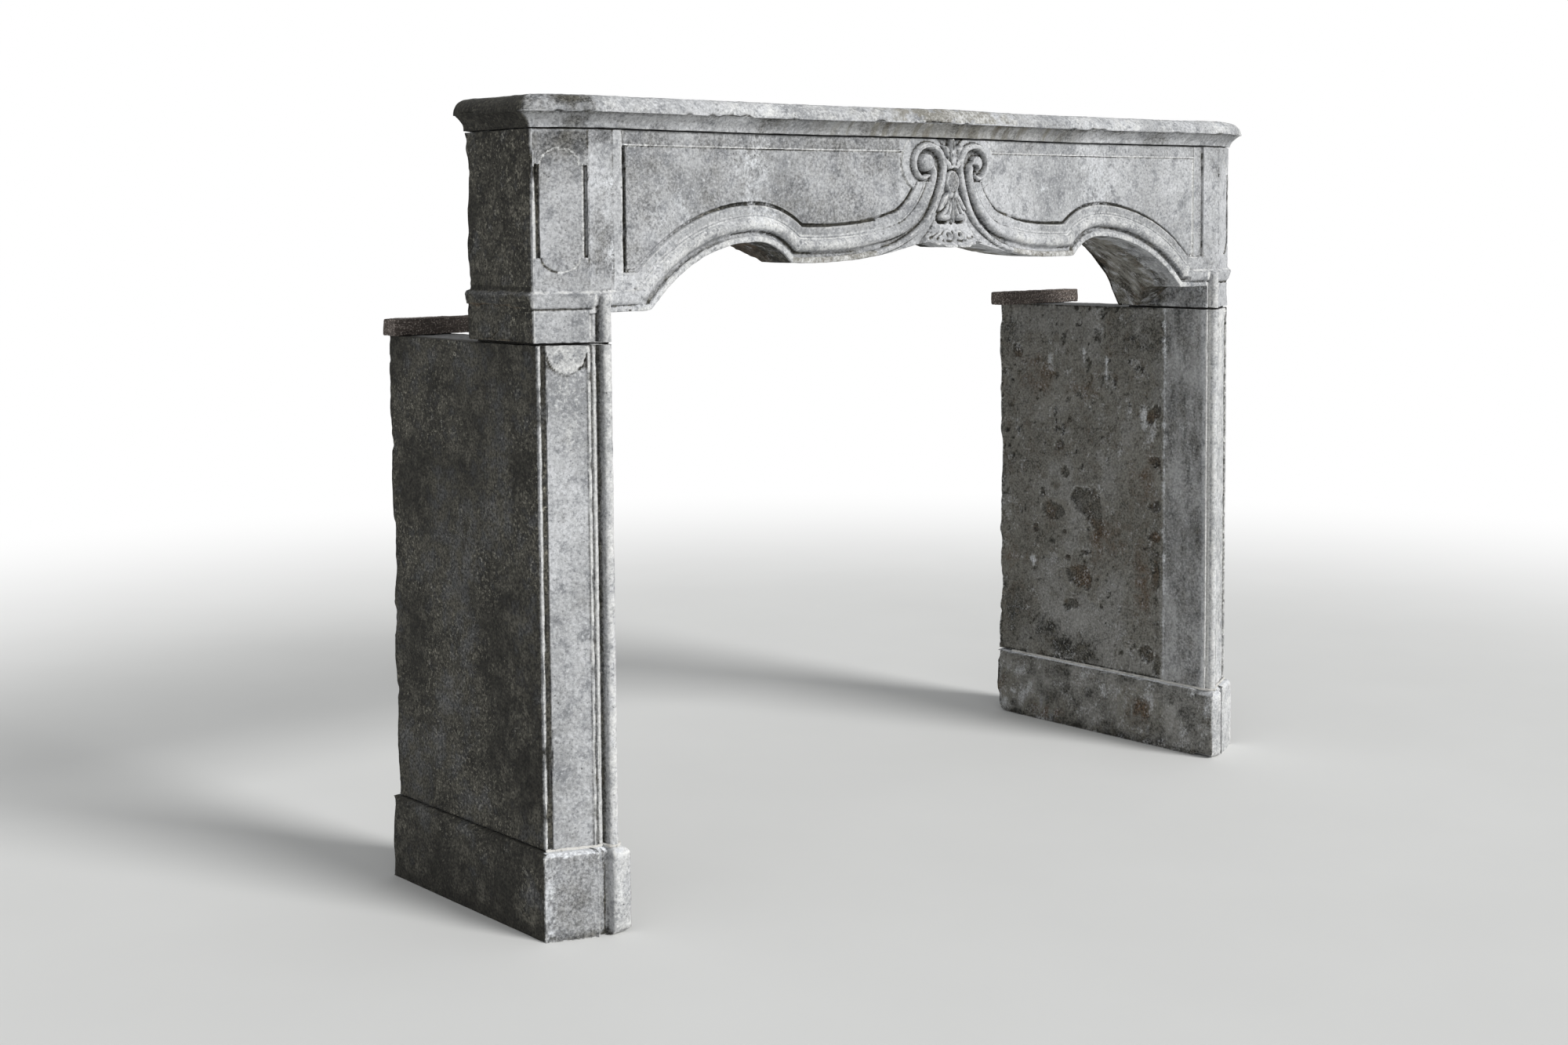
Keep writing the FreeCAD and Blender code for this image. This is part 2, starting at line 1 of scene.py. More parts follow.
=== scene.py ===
import math
import bpy
import numpy as np
from mathutils import Euler, Matrix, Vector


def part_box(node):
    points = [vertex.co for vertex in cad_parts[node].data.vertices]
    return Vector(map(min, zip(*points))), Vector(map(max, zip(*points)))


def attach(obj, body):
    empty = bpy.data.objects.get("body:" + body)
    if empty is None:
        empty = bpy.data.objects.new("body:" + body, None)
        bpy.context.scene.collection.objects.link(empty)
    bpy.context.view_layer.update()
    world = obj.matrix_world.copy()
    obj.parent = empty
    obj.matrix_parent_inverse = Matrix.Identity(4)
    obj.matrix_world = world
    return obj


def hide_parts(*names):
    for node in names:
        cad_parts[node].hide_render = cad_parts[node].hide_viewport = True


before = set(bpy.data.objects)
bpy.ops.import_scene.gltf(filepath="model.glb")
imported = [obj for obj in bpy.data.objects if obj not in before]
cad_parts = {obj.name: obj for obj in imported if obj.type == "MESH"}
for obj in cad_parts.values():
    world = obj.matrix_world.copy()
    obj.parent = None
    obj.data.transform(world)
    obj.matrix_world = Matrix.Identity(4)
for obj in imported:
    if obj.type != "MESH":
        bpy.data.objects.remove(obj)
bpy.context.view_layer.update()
print("frame loaded,", len(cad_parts), "nodes")

# all shapes are worked out in millimetres, with depth counted back from the front plane
layout = dict(frontPlane=-250.0, openHalf=699.0, cantFoot=735.0, jambOuter=804.0, jambRise=31.0, jambCant=75.65,
              lintelOuter=808.0, lintelRise=32.8, lintelCant=80.03, lintelBack=203.0, lintelFoot=860.0,
              lintelTop=1162.0, spring=901.0, jambFoot=131.0, jambTop=857.0, spine=752.0)
sides = (("left", -1, 440.0), ("right", 1, 528.0))      # word, side, depth of the jamb
meshRule = dict(weldPerMm=20.0, sharpDegrees=38.0, capMargin=45.0)


def toMetres(points):
    moved = np.array(points, float)
    moved[..., 1] += layout["frontPlane"]
    return moved / 1000.0


def unit(value):
    return np.clip(value, 0.0, 1.0)


def easeStep(low, high, value):
    share = unit((value - low) / (high - low))
    return share * share * (3.0 - 2.0 * share)


def between(value, low, high):
    return (value > low) & (value < high)


def glow(value, middle, width):
    return np.exp(-((value - middle) / width) ** 2)


def spotAt(a, b, middleA, middleB, wideA, wideB):
    return np.exp(-((a - middleA) / wideA) ** 2 - ((b - middleB) / wideB) ** 2)


def dome(place, power=2):
    return np.sqrt(unit(1.0 - place ** power))


def hashLattice(cells, seed):
    mixed = cells[..., 0] * 374761393 + cells[..., 1] * 668265263 + cells[..., 2] * 1442695041 + seed * 97463477
    mixed = (mixed ^ (mixed >> 13)) & 0xFFFFFFFF
    mixed = (mixed * 1274126177) & 0xFFFFFFFF
    return ((mixed ^ (mixed >> 16)) & 0xFFFF) / 32767.5 - 1.0


# smooth lattice noise between -1 and 1, one lump every `size` mm
def lumps(points, size, seed):
    spot = np.asarray(points, float) / size + 1000.0
    cell = np.floor(spot).astype(np.int64)
    part = spot - cell
    part = part * part * (3.0 - 2.0 * part)
    total = np.zeros(len(spot))
    for corner in np.ndindex(2, 2, 2):
        weight = np.ones(len(spot))
        for axis, step in enumerate(corner):
            weight = weight * (part[:, axis] if step else 1.0 - part[:, axis])
        total += weight * hashLattice(cell + np.array(corner), seed)
    return total


# grids of points become one welded shell; each grid names a point inside the stone
def weldGrids(grids):
    allPoints, allFaces, base = [], [], 0
    for points, inside in grids:
        rows, columns = points.shape[:2]
        flat = points.reshape(-1, 3)
        index = np.arange(rows * columns).reshape(rows, columns)
        quads = np.stack([index[:-1, :-1], index[:-1, 1:], index[1:, 1:], index[1:, :-1]], -1).reshape(-1, 4)
        corner = [flat[quads[:, k]] for k in range(4)]
        facing = np.cross(corner[2] - corner[0], corner[3] - corner[1])
        if np.sum(facing * (sum(corner) / 4.0 - np.array(inside))) < 0.0:
            quads = quads[:, ::-1]
        allPoints.append(flat)
        allFaces.append(quads + base)
        base += rows * columns
    points = np.concatenate(allPoints)
    faces = np.concatenate(allFaces)
    _, first, back = np.unique(np.round(points * meshRule["weldPerMm"]).astype(np.int64), axis=0, return_index=True,
                               return_inverse=True)
    faces = back.reshape(-1)[faces]
    twin = faces == np.roll(faces, -1, axis=1)
    crossed = (faces[:, 0] == faces[:, 2]) | (faces[:, 1] == faces[:, 3])
    quads = faces[~twin.any(1) & ~crossed]
    single = faces[(twin.sum(1) == 1) & ~crossed]
    order = (np.argmax(single == np.roll(single, -1, axis=1), axis=1)[:, None] + 1 + np.arange(3)) % 4
    triangles = np.take_along_axis(single, order, 1)
    return points[first], np.concatenate([quads, triangles[:, (0, 1, 2, 2)]])


def shellNormals(points, faces):
    facing = np.cross(points[faces[:, 2]] - points[faces[:, 0]], points[faces[:, 3]] - points[faces[:, 1]])
    total = np.zeros_like(points)
    for k in range(4):
        for axis in range(3):
            total[:, axis] += np.bincount(faces[:, k], facing[:, axis], len(points))
    return total / np.maximum(np.linalg.norm(total, axis=1, keepdims=True), 1e-9)


# how hollow (+) or ridged (-) the shell is at each point, against the mean edge length
def hollowness(points, faces, normals, rounds=0):
    pairs = np.concatenate([faces[:, (k, (k + 1) % 4)] for k in range(4)])
    pairs = np.unique(np.sort(pairs[pairs[:, 0] != pairs[:, 1]], axis=1), axis=0)
    here, there = np.concatenate([pairs, pairs[:, ::-1]]).T
    count = np.maximum(np.bincount(here, minlength=len(points)), 1)

    def meanOf(values):
        return np.bincount(here, values, len(points)) / count

    span = meanOf(np.linalg.norm(points[there] - points[here], axis=1))
    mean = np.stack([meanOf(points[there, axis]) for axis in range(3)], 1)
    hollow = np.einsum("ij,ij->i", mean - points, normals) / np.maximum(span, 1e-6)
    for _ in range(rounds):
        hollow = 0.5 * hollow + 0.5 * meanOf(hollow[there])
    return hollow


# the points of a piece while it is shaped and painted, with four coats that are put or added where a mask holds
class Skin:
    def __init__(self, points, normals, hollow):
        self.points, self.normals, self.hollow = points, normals, hollow
        self.x, self.y, self.z = points.T
        self.nx, self.ny, self.nz = normals.T
        self.ax = np.abs(self.x)
        self.places = self.x, self.y, self.z, self.ax
        self.wear = self.grime = self.rust = self.lime = np.zeros(len(points))

    def noise(self, size, seed, stretch=(1.0, 1.0, 1.0), layers=3):
        place = self.points * np.array(stretch)
        return sum(lumps(place, size / 2 ** k, seed + 7 * k) * 0.55 ** k for k in range(layers))

    # place along the canted face of the lintel or a jamb
    def along(self, stone):
        run = layout[stone + "Outer"] - layout["cantFoot"]
        return ((self.ax - layout["cantFoot"]) * run + self.y * layout[stone + "Rise"]) / layout[stone + "Cant"]

    def put(self, where, **coats):
        for name, value in coats.items():
            setattr(self, name, np.where(where, value, getattr(self, name)))

    def add(self, where, **coats):
        for name, value in coats.items():
            setattr(self, name, getattr(self, name) + np.where(where, value, 0.0))

    # tooling marks, chips off the arrises, the wavy line of a broken back; depths in mm, only inwards
    def tooled(self, size, seed, fineSize, fineSeed, much=0.4, fine=0.25, drop=0.45):
        return much * self.noise(size, seed) + fine * self.noise(fineSize, fineSeed, layers=1) - drop

    def chipped(self, sharp, size, seed, above, more=0.0):
        arris = unit(-self.hollow * sharp)
        return -(arris + more) * unit(self.noise(size, seed) - above)

    def brokenLine(self, base, much, stretch, size, seed, most):
        return np.clip(base + much * self.noise(size, seed, (stretch, 0.2, 1.0)), 0.0, most)

    def inwards(self, depth):
        return self.normals * np.minimum(depth, 0.0)[:, None]


# makes the object of a piece: relief by push(), coats by paint()
def makePiece(name, node, slotName, material, grids, push, paint, *more):
    points, faces = weldGrids(grids)
    normals = shellNormals(points, faces)
    points = points + push(Skin(points, normals, hollowness(points, faces, normals)), *more)
    normals = shellNormals(points, faces)
    skin = Skin(points, normals, hollowness(points, faces, normals, 1))
    if paint:
        paint(skin, *more)
    # coats: wear with painted highlights, grime with soot and painted shade, rust, lime
    channels = unit(np.stack([skin.wear, skin.grime, skin.rust, skin.lime], 1))
    mesh = bpy.data.meshes.new(name)
    polygons = [tuple(face[:3]) if face[2] == face[3] else tuple(face) for face in faces.tolist()]
    mesh.from_pydata(toMetres(points).tolist(), [], polygons)
    mesh.update()
    layer = mesh.color_attributes.new("coatsAndShading", "FLOAT_COLOR", "POINT")
    layer.data.foreach_set("color", channels.astype(np.float32).ravel())
    mesh.shade_smooth()
    mesh.set_sharp_from_angle(angle=math.radians(meshRule["sharpDegrees"]))
    mesh.materials.append(material)
    piece = bpy.data.objects.new(name, mesh)
    bpy.context.scene.collection.objects.link(piece)
    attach(piece, "root")
    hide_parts(node)
    print(name, len(polygons), "faces")


# sRGB hex to linear
def inkOf(code):
    parts = [int(code[k:k + 2], 16) / 255.0 for k in (1, 3, 5)]
    return (*[p / 12.92 if p <= 0.04045 else ((p + 0.055) / 1.055) ** 2.4 for p in parts], 1.0)


def feed(tree, node, links):
    for key, value in links.items():
        if isinstance(value, bpy.types.NodeSocket):
            tree.links.new(value, node.inputs[key])
        else:
            node.inputs[key].default_value = value


def addNode(tree, kind, links=None, **settings):
    node = tree.nodes.new(kind)
    for key, value in settings.items():
        setattr(node, key, value)
    feed(tree, node, links or {})
    return node


def remap(tree, value, low, high, start=0.0, end=1.0, **settings):
    return addNode(tree, "ShaderNodeMapRange", {0: value, 1: low, 2: high, 3: start, 4: end}, **settings).outputs[0]


def reckon(tree, operation, *values, **settings):
    return addNode(tree, "ShaderNodeMath", dict(enumerate(values)), operation=operation, **settings).outputs[0]


def overlay(tree, share, under, over):
    return addNode(tree, "ShaderNodeMix", {0: share, 6: under, 7: over}, data_type="RGBA").outputs[2]


def noiseField(tree, place, mm, detail, rough=0.5):
    return addNode(tree, "ShaderNodeTexNoise", {"Vector": place, "Scale": 1000.0 / mm, "Detail": detail,
                                                "Roughness": rough}).outputs["Fac"]


def bumpOf(tree, height, strength, mm):
    return addNode(tree, "ShaderNodeBump", {"Height": height, "Strength": strength,
                                            "Distance": mm / 1000.0}).outputs["Normal"]


def newMaterial(name):
    material = bpy.data.materials.new(name)
    material.use_nodes = True
    tree = material.node_tree
    tree.nodes.clear()
    shader = addNode(tree, "ShaderNodeBsdfPrincipled")
    addNode(tree, "ShaderNodeOutputMaterial", {"Surface": shader.outputs["BSDF"]}, is_active_output=True)
    return material, tree, shader, addNode(tree, "ShaderNodeTexCoord").outputs["Object"]


# Weathered limestone, sawn and rubbed, then a century of soot, lime wash and handling: a pale neutral grey ground
# with cloudy patches and sharp dark and light specks, olive-brown soot drawn out in upright streaks on the
# sheltered faces, near white on worn arrises, matt everywhere; the soot colours also lay painted shade and the
# near white painted highlights where the coats call for them.
stoneLook = dict(ground="#A9AAAB", light="#C4C5C7", dark="#75777A", darkSootAndShade="#262521", lightSootAndShade="#53514A",
                 sootFleck="#8C897E", stain="#7E7B71", groove="#30302F", rust="#55483A", lime="#CDCFD2",
                 wornAndHighlight="#D2D2D0", cloudMm=150.0, mottleMm=26.0, grainMm=5.0, streakMm=40.0, pitMm=8.0, speckMm=4.2)


def makeLimestone(name, look):
    material, tree, shader, spot = newMaterial(name)
    upright = addNode(tree, "ShaderNodeMapping", {"Vector": spot, "Scale": (1.0, 1.0, 0.2)}).outputs[0]
    coatsAndShading = addNode(tree, "ShaderNodeAttribute", attribute_name="coatsAndShading").outputs
    split = addNode(tree, "ShaderNodeSeparateColor", {0: coatsAndShading["Color"]}).outputs
    coats = dict(wear=split[0], grime=split[1], rust=split[2], lime=coatsAndShading["Alpha"])
    fields = {}
    for label, place, detail, rough in (("cloud", spot, 4.0, 0.55), ("mottle", spot, 5.0, 0.66),
                                        ("grain", spot, 4.0, 0.72), ("streak", upright, 4.0, 0.62),
                                        ("speck", spot, 2.0, 0.7)):
        fields[label] = noiseField(tree, place, look[label + "Mm"], detail, rough)
    cells = addNode(tree, "ShaderNodeTexVoronoi", {"Vector": spot, "Scale": 1000.0 / look["pitMm"],
                                                   "Randomness": 1.0}).outputs["Distance"]
    holes = remap(tree, cells, 0.06, 0.22, 1.0, 0.0)
    # shares by which each layer covers the one before
    shares = {"pit": reckon(tree, "MULTIPLY", holes, remap(tree, fields["mottle"], 0.5, 0.64, 0.0, 0.85))}
    for label, field, low, high, top in (("light", "cloud", 0.44, 0.62, 0.9), ("shade", "cloud", 0.48, 0.34, 0.45),
                                         ("dark", "mottle", 0.5, 0.34, 0.8), ("grainDark", "grain", 0.47, 0.33, 0.75),
                                         ("grainLight", "grain", 0.53, 0.66, 0.8), ("damp", "mottle", 0.42, 0.6, 0.9),
                                         ("run", "streak", 0.5, 0.36, 0.6), ("fleck", "grain", 0.54, 0.64, 1.0),
                                         ("crust", "cloud", 0.42, 0.56, 0.75)):
        shares[label] = remap(tree, fields[field], low, high, 0.0, top)
    # flecks show where the soot with painted shade is old, not where it is thin or thickest
    old = remap(tree, coats["grime"], 0.66, 0.86)
    thick = remap(tree, coats["grime"], 0.92, 1.0, 1.0, 0.3)
    for label, share in (("crust", old), ("crust", thick), ("damp", thick)):
        shares[label] = reckon(tree, "MULTIPLY", shares[label], share)
    shares["fleck"] = reckon(tree, "MULTIPLY", shares["fleck"], shares["crust"])
    # wear with painted highlight, grime with painted shade, rust and lime are broken up by the stone's own unevenness
    # before they cover anything
    for label, field, swing in (("wear", "grain", 0.3), ("grime", "mottle", 0.15), ("rust", "mottle", 0.3),
                                ("lime", "grain", 0.3)):
        jitter = remap(tree, fields[field], 0.3, 0.7, -swing, swing, clamp=False)
        cover = remap(tree, reckon(tree, "ADD", coats[label], jitter), 0.12, 0.86)
        shares[label] = reckon(tree, "MULTIPLY", cover, remap(tree, coats[label], 0.0, 0.12))
    # any rust at all tints the stone olive, as on the sides turned to the fire
    shares["stain"] = remap(tree, coats["rust"], 0.0, 0.08, 0.0, 0.8)
    sootAndShade = inkOf(look["darkSootAndShade"])
    for label, ink in (("damp", "lightSootAndShade"), ("run", "darkSootAndShade"), ("fleck", "sootFleck")):
        sootAndShade = overlay(tree, shares[label], sootAndShade, inkOf(look[ink]))
    colour = inkOf(look["ground"])
    for label, ink in (("light", "light"), ("shade", "dark"), ("dark", "dark"), ("grainDark", "dark"),
                       ("grainLight", "light"), ("stain", "stain"), ("grime", None), ("rust", "rust"),
                       ("lime", "lime"), ("wear", "wornAndHighlight"), ("pit", "groove")):
        colour = overlay(tree, shares[label], colour, inkOf(look[ink]) if ink else sootAndShade)
    # open grain, each speck lighter or darker than the coat it lies in, most of all in soot
    swing = remap(tree, coats["grime"], 0.2, 0.7, 0.17, 0.66)
    speck = reckon(tree, "MULTIPLY_ADD", remap(tree, fields["speck"], 0.36, 0.64, -1.0, 1.0), swing, 1.0)
    colour = addNode(tree, "ShaderNodeVectorMath", {0: colour, "Scale": speck}, operation="SCALE").outputs[0]
    body = reckon(tree, "MULTIPLY_ADD", fields["mottle"], 1.5, fields["grain"])
    height = reckon(tree, "SUBTRACT", body, shares["pit"])
    feed(tree, shader, {"Base Color": colour, "Roughness": remap(tree, fields["grain"], 0.3, 0.7, 0.78, 0.95),
                        "IOR": 1.48, "Specular IOR Level": 0.3, "Normal": bumpOf(tree, height, 0.6, 1.3)})
    return material


limestone = makeLimestone("weatheredLimestone", stoneLook)
print("limestone made")


# plan of the lintel and shelf: side, cant, serpentine front, cant, side, with mitred outset directions
waveRule = dict(crest=6.0, valley=16.0, valleyHalf=370.0, waveHalf=697.0)
panelLines = (0.6, 1.0, 5.0, 5.4, 69.3, 69.7, 74.8, 75.2)      # columns at the channels of the cant


def waveDepth(x):
    crest, valley, half, end = waveRule.values()
    ax = np.abs(x)
    run = end - half
    inner = (half ** 2 + (valley + crest) ** 2) / (4.0 * (valley + crest))
    outer = (run ** 2 + valley ** 2) / (4.0 * valley)
    return np.select([ax < half / 2, ax < half, ax < half + run / 2, ax < end],
                     [-crest + ax ** 2 / (2 * inner), valley - (half - ax) ** 2 / (2 * inner),
                      valley - (ax - half) ** 2 / (2 * outer), (end - ax) ** 2 / (2 * outer)], 0.0)


def planColumns(half, cantSteps, sideSteps):
    foot = np.array((layout["cantFoot"], 0.0))
    end = np.array((layout["lintelOuter"], layout["lintelRise"]))
    length = np.linalg.norm(end - foot)
    cantOut = np.array((end[1] - foot[1], -(end[0] - foot[0]))) / length
    sideOut, frontOut = np.array((1.0, 0.0)), np.array((0.0, -1.0))
    # x, depth, outset direction, place along the cant or -1, place along the side or -1
    inner = np.concatenate([-half[-2:0:-1], half[:-1]])
    front = [(x, y, 0.0, -1.0, -1.0, -1.0) for x, y in zip(inner, waveDepth(inner))]
    right = [(*foot, *((frontOut + cantOut) / (1.0 + frontOut @ cantOut)), 0.0, -1.0)]
    spots = np.concatenate([np.linspace(0.0, length, cantSteps + 1)[1:-1], panelLines])
    right += [(*(foot + (end - foot) * share), *cantOut, share * length, -1.0) for share in np.unique(spots / length)]
    right.append((*end, *((sideOut + cantOut) / (1.0 + sideOut @ cantOut)), length, 0.0))
    run = layout["lintelBack"] - end[1]
    right += [(end[0], end[1] + run * share, 1.0, 0.0, -1.0, share * run)
              for share in np.linspace(0.0, 1.0, sideSteps + 1)[1:]]
    left = [(-x, y, -outX, outY, along, back) for x, y, outX, outY, along, back in right[::-1]]
    return np.array(left + front + right)


# the arch of the opening: springing line, haunch, shoulder and belly, each arc as height of its centre and radius
archRule = dict(apexHalf=405.0, haunch=(706.8, 291.2), shoulder=(908.0, 90.0), bellyHalf=285.0,
                belly=(1820.5, 857.0), bellyReach=420.0, splay=30.0, splayFrom=90.0, fallFrom=75.0, fallTo=150.0)


def archArcs(x):
    ax = np.abs(x)
    beyond = ax >= archRule["apexHalf"]
    arcZ, arcRadius = (np.where(beyond, a, b) for a, b in zip(archRule["haunch"], archRule["shoulder"]))
    return ax - archRule["apexHalf"], arcZ, arcRadius, ax - archRule["bellyHalf"], ax < archRule["bellyReach"]


def archHeight(x, lift, ledge=None):
    arcX, arcZ, arcRadius, bellyX, inBelly = archArcs(x)
    bellyZ, bellyRadius = archRule["belly"]
    room = (arcRadius + lift) ** 2 - arcX ** 2
    arc = np.where(room > 0.0, arcZ + np.sqrt(np.maximum(room, 0.0)), -1e6)
    room = (bellyRadius - lift) ** 2 - bellyX ** 2
    belly = np.where(inBelly, bellyZ - np.sqrt(np.maximum(room, 1.0)), -1e6)
    return np.maximum(layout["spring"] + lift if ledge is None else ledge, np.maximum(arc, belly))


# level for a hand's breadth behind the front, then splayed; behind the ledge the haunch goes on down to the joint
def soffitHeight(x, depth):
    rule = archRule
    run = layout["lintelBack"] - rule["splayFrom"]
    lift = rule["splay"] * unit((depth - rule["splayFrom"]) / run)
    drop = easeStep(rule["fallFrom"], rule["fallTo"], depth)
    return archHeight(x, lift, layout["spring"] * (1.0 - drop) + (layout["lintelFoot"] + 1.0) * drop)


# distance into the stone from the edge of the opening
def archDistance(x, z):
    arcX, arcZ, arcRadius, bellyX, inBelly = archArcs(x)
    bellyZ, bellyRadius = archRule["belly"]
    belly = np.where(inBelly, bellyRadius - np.hypot(bellyX, z - bellyZ), 1e6)
    return np.minimum(z - layout["spring"], np.minimum(np.hypot(arcX, z - arcZ) - arcRadius, belly))


# mouldings of the band, from the soffit outwards: fillet, cove, torus, quirks, fascia, step to the panel
bandSteps = (0.0, 1.5, 8.8, 10.2, 14.0, 17.0, 18.2, 20.0, 23.0, 28.0, 33.0, 36.2, 37.8, 39.4, 41.0, 42.6, 44.2,
             46.0, 55.8, 57.4, 59.8, 62.0)
bandHeights = (-1.2, 0.0, 0.0, -4.2, -7.0, -5.2, -2.0, 1.2, 3.3, 4.4, 3.3, 1.2, -1.0, -2.4, -1.4, -2.6, -2.2,
               -2.0, -2.2, -8.2, -8.2, -6.0)


# nearest place on a smooth path: distance, side (+ to the right of travel), share of the length
def alongPath(x, z, path, steps=90):
    knots = np.array(path, float)
    ends = np.vstack([2 * knots[0] - knots[1], knots, 2 * knots[-1] - knots[-2]])
    t = np.linspace(0.0, 1.0, max(3, steps // (len(knots) - 1)), endpoint=False)[:, None]
    places = []
    for k in range(len(knots) - 1):
        p0, p1, p2, p3 = ends[k:k + 4]
        places.append(0.5 * (2 * p1 + (p2 - p0) * t + (2 * p0 - 5 * p1 + 4 * p2 - p3) * t ** 2
                             + (3 * p1 - p0 - 3 * p2 + p3) * t ** 3))
    line = np.vstack(places + [knots[-1:]])
    run = np.concatenate([[0.0], np.cumsum(np.linalg.norm(np.diff(line, axis=0), axis=1))])
    best, side, share = np.full(len(x), 1e9), np.zeros(len(x)), np.zeros(len(x))
    for k in range(len(line) - 1):
        step = line[k + 1] - line[k]
        length = max(np.hypot(*step), 1e-6)
        t = unit(((x - line[k, 0]) * step[0] + (z - line[k, 1]) * step[1]) / length ** 2)
        gapX, gapZ = x - line[k, 0] - t * step[0], z - line[k, 1] - t * step[1]
        gap = np.hypot(gapX, gapZ)
        nearer = gap < best
        best = np.where(nearer, gap, best)
        side = np.where(nearer, np.sign(step[1] * gapX - step[0] * gapZ), side)
        share = np.where(nearer, (run[k] + t * length) / run[-1], share)
    return best, side, share


# a carved lobe on a spine: rounded, hollowed along its middle, pointed at its tip
def carvedLobe(x, z, path, halfWidth, rise, hollow):
    gap, _, share = alongPath(x, z, path, 36)
    place = gap / (halfWidth * (0.5 + 0.62 * np.sin(np.pi * unit(share * 0.9 + 0.08))))
    valley = hollow * glow(place, 0.0, 0.3) * np.sin(np.pi * np.clip(share, 0.02, 0.98)) ** 0.5
    return np.where(place < 1.0, rise * dome(place) - valley - 4.0, -99.0)


carving = dict(
    torus=((250, 992), (210, 995), (170, 1001), (140, 1007), (106, 1018), (81, 1036), (62, 1058), (49, 1081),
           (43, 1102), (45, 1113), (52, 1121)),
    fillet=((250, 968), (210, 971), (170, 976), (140, 983), (112, 993), (85, 1007), (62, 1023), (47, 1040),
            (36, 1059), (27, 1081), (21, 1102), (20, 1120), (25, 1136), (37, 1147), (54, 1151), (69, 1148),
            (80, 1139), (86, 1126), (84, 1112), (75, 1101), (65, 1098), (55, 1102)),
    eye=(60.0, 1123.0), eyeRadius=14.5, ringRadius=48.0, oval=(1091.0, 15.0, 20.0),
    palmette=(((0, 1116), (0, 1138), (0, 1160)), ((4, 1116), (8, 1130), (12, 1142), (20, 1149)),
              ((6, 1114), (12, 1121), (20, 1128))),
    palmetteSlits=(((0, 1146), (0, 1153), (0, 1160)), ((5, 1120), (8, 1131), (10, 1143)),
                   ((9, 1126), (14, 1133), (21, 1138))),
    leaves=((((7, 1073), (15, 1063), (23, 1053), (30, 1046)), 5.6, 9.0),
            (((5, 1073), (12, 1057), (20, 1043), (27, 1035)), 6.4, 11.5),
            (((4, 1072), (7, 1056), (10, 1042), (15, 1034)), 5.6, 11.0)),
    leafSlits=(((10, 1066), (16, 1055), (24, 1044)), ((7, 1064), (11, 1049), (17, 1036)),
               ((3, 1064), (3, 1046), (4, 1030))),
    tip=(19.0, 1034.0, 13.0, 6.0), rib=((0, 1026), (0, 1048), (0, 1074)), shellHalf=76.0,
    shellWidths=((980.0, 1000.0, 1014.0, 1030.0), (80.0, 63.0, 47.0, 36.0)), shellHeart=1042.0, shellTop=1028.0,
    shellFoot=((0.0, 4.0, 14.0, 28.0, 33.0, 44.0, 54.0, 60.0, 76.0),
               (986.5, 984.6, 983.8, 985.0, 988.4, 988.4, 992.0, 996.0, 998.0)),
    curl=(13.0, 1004.0, 6.5))


def shellEdge(x):
    return np.interp(np.abs(x), *carving["shellFoot"])


def frontFoot(x):
    arch = archHeight(x, 0.0)
    return np.where(np.abs(x) < carving["shellHalf"], np.minimum(arch, shellEdge(x)), arch)


def eyeDistance(x, z):
    return np.hypot(np.abs(x) - carving["eye"][0], z - carving["eye"][1])


# lays each value in turn where its mask holds
def layIn(height, *steps):
    for where, value in steps:
        height = np.where(where, value, height)
    return height


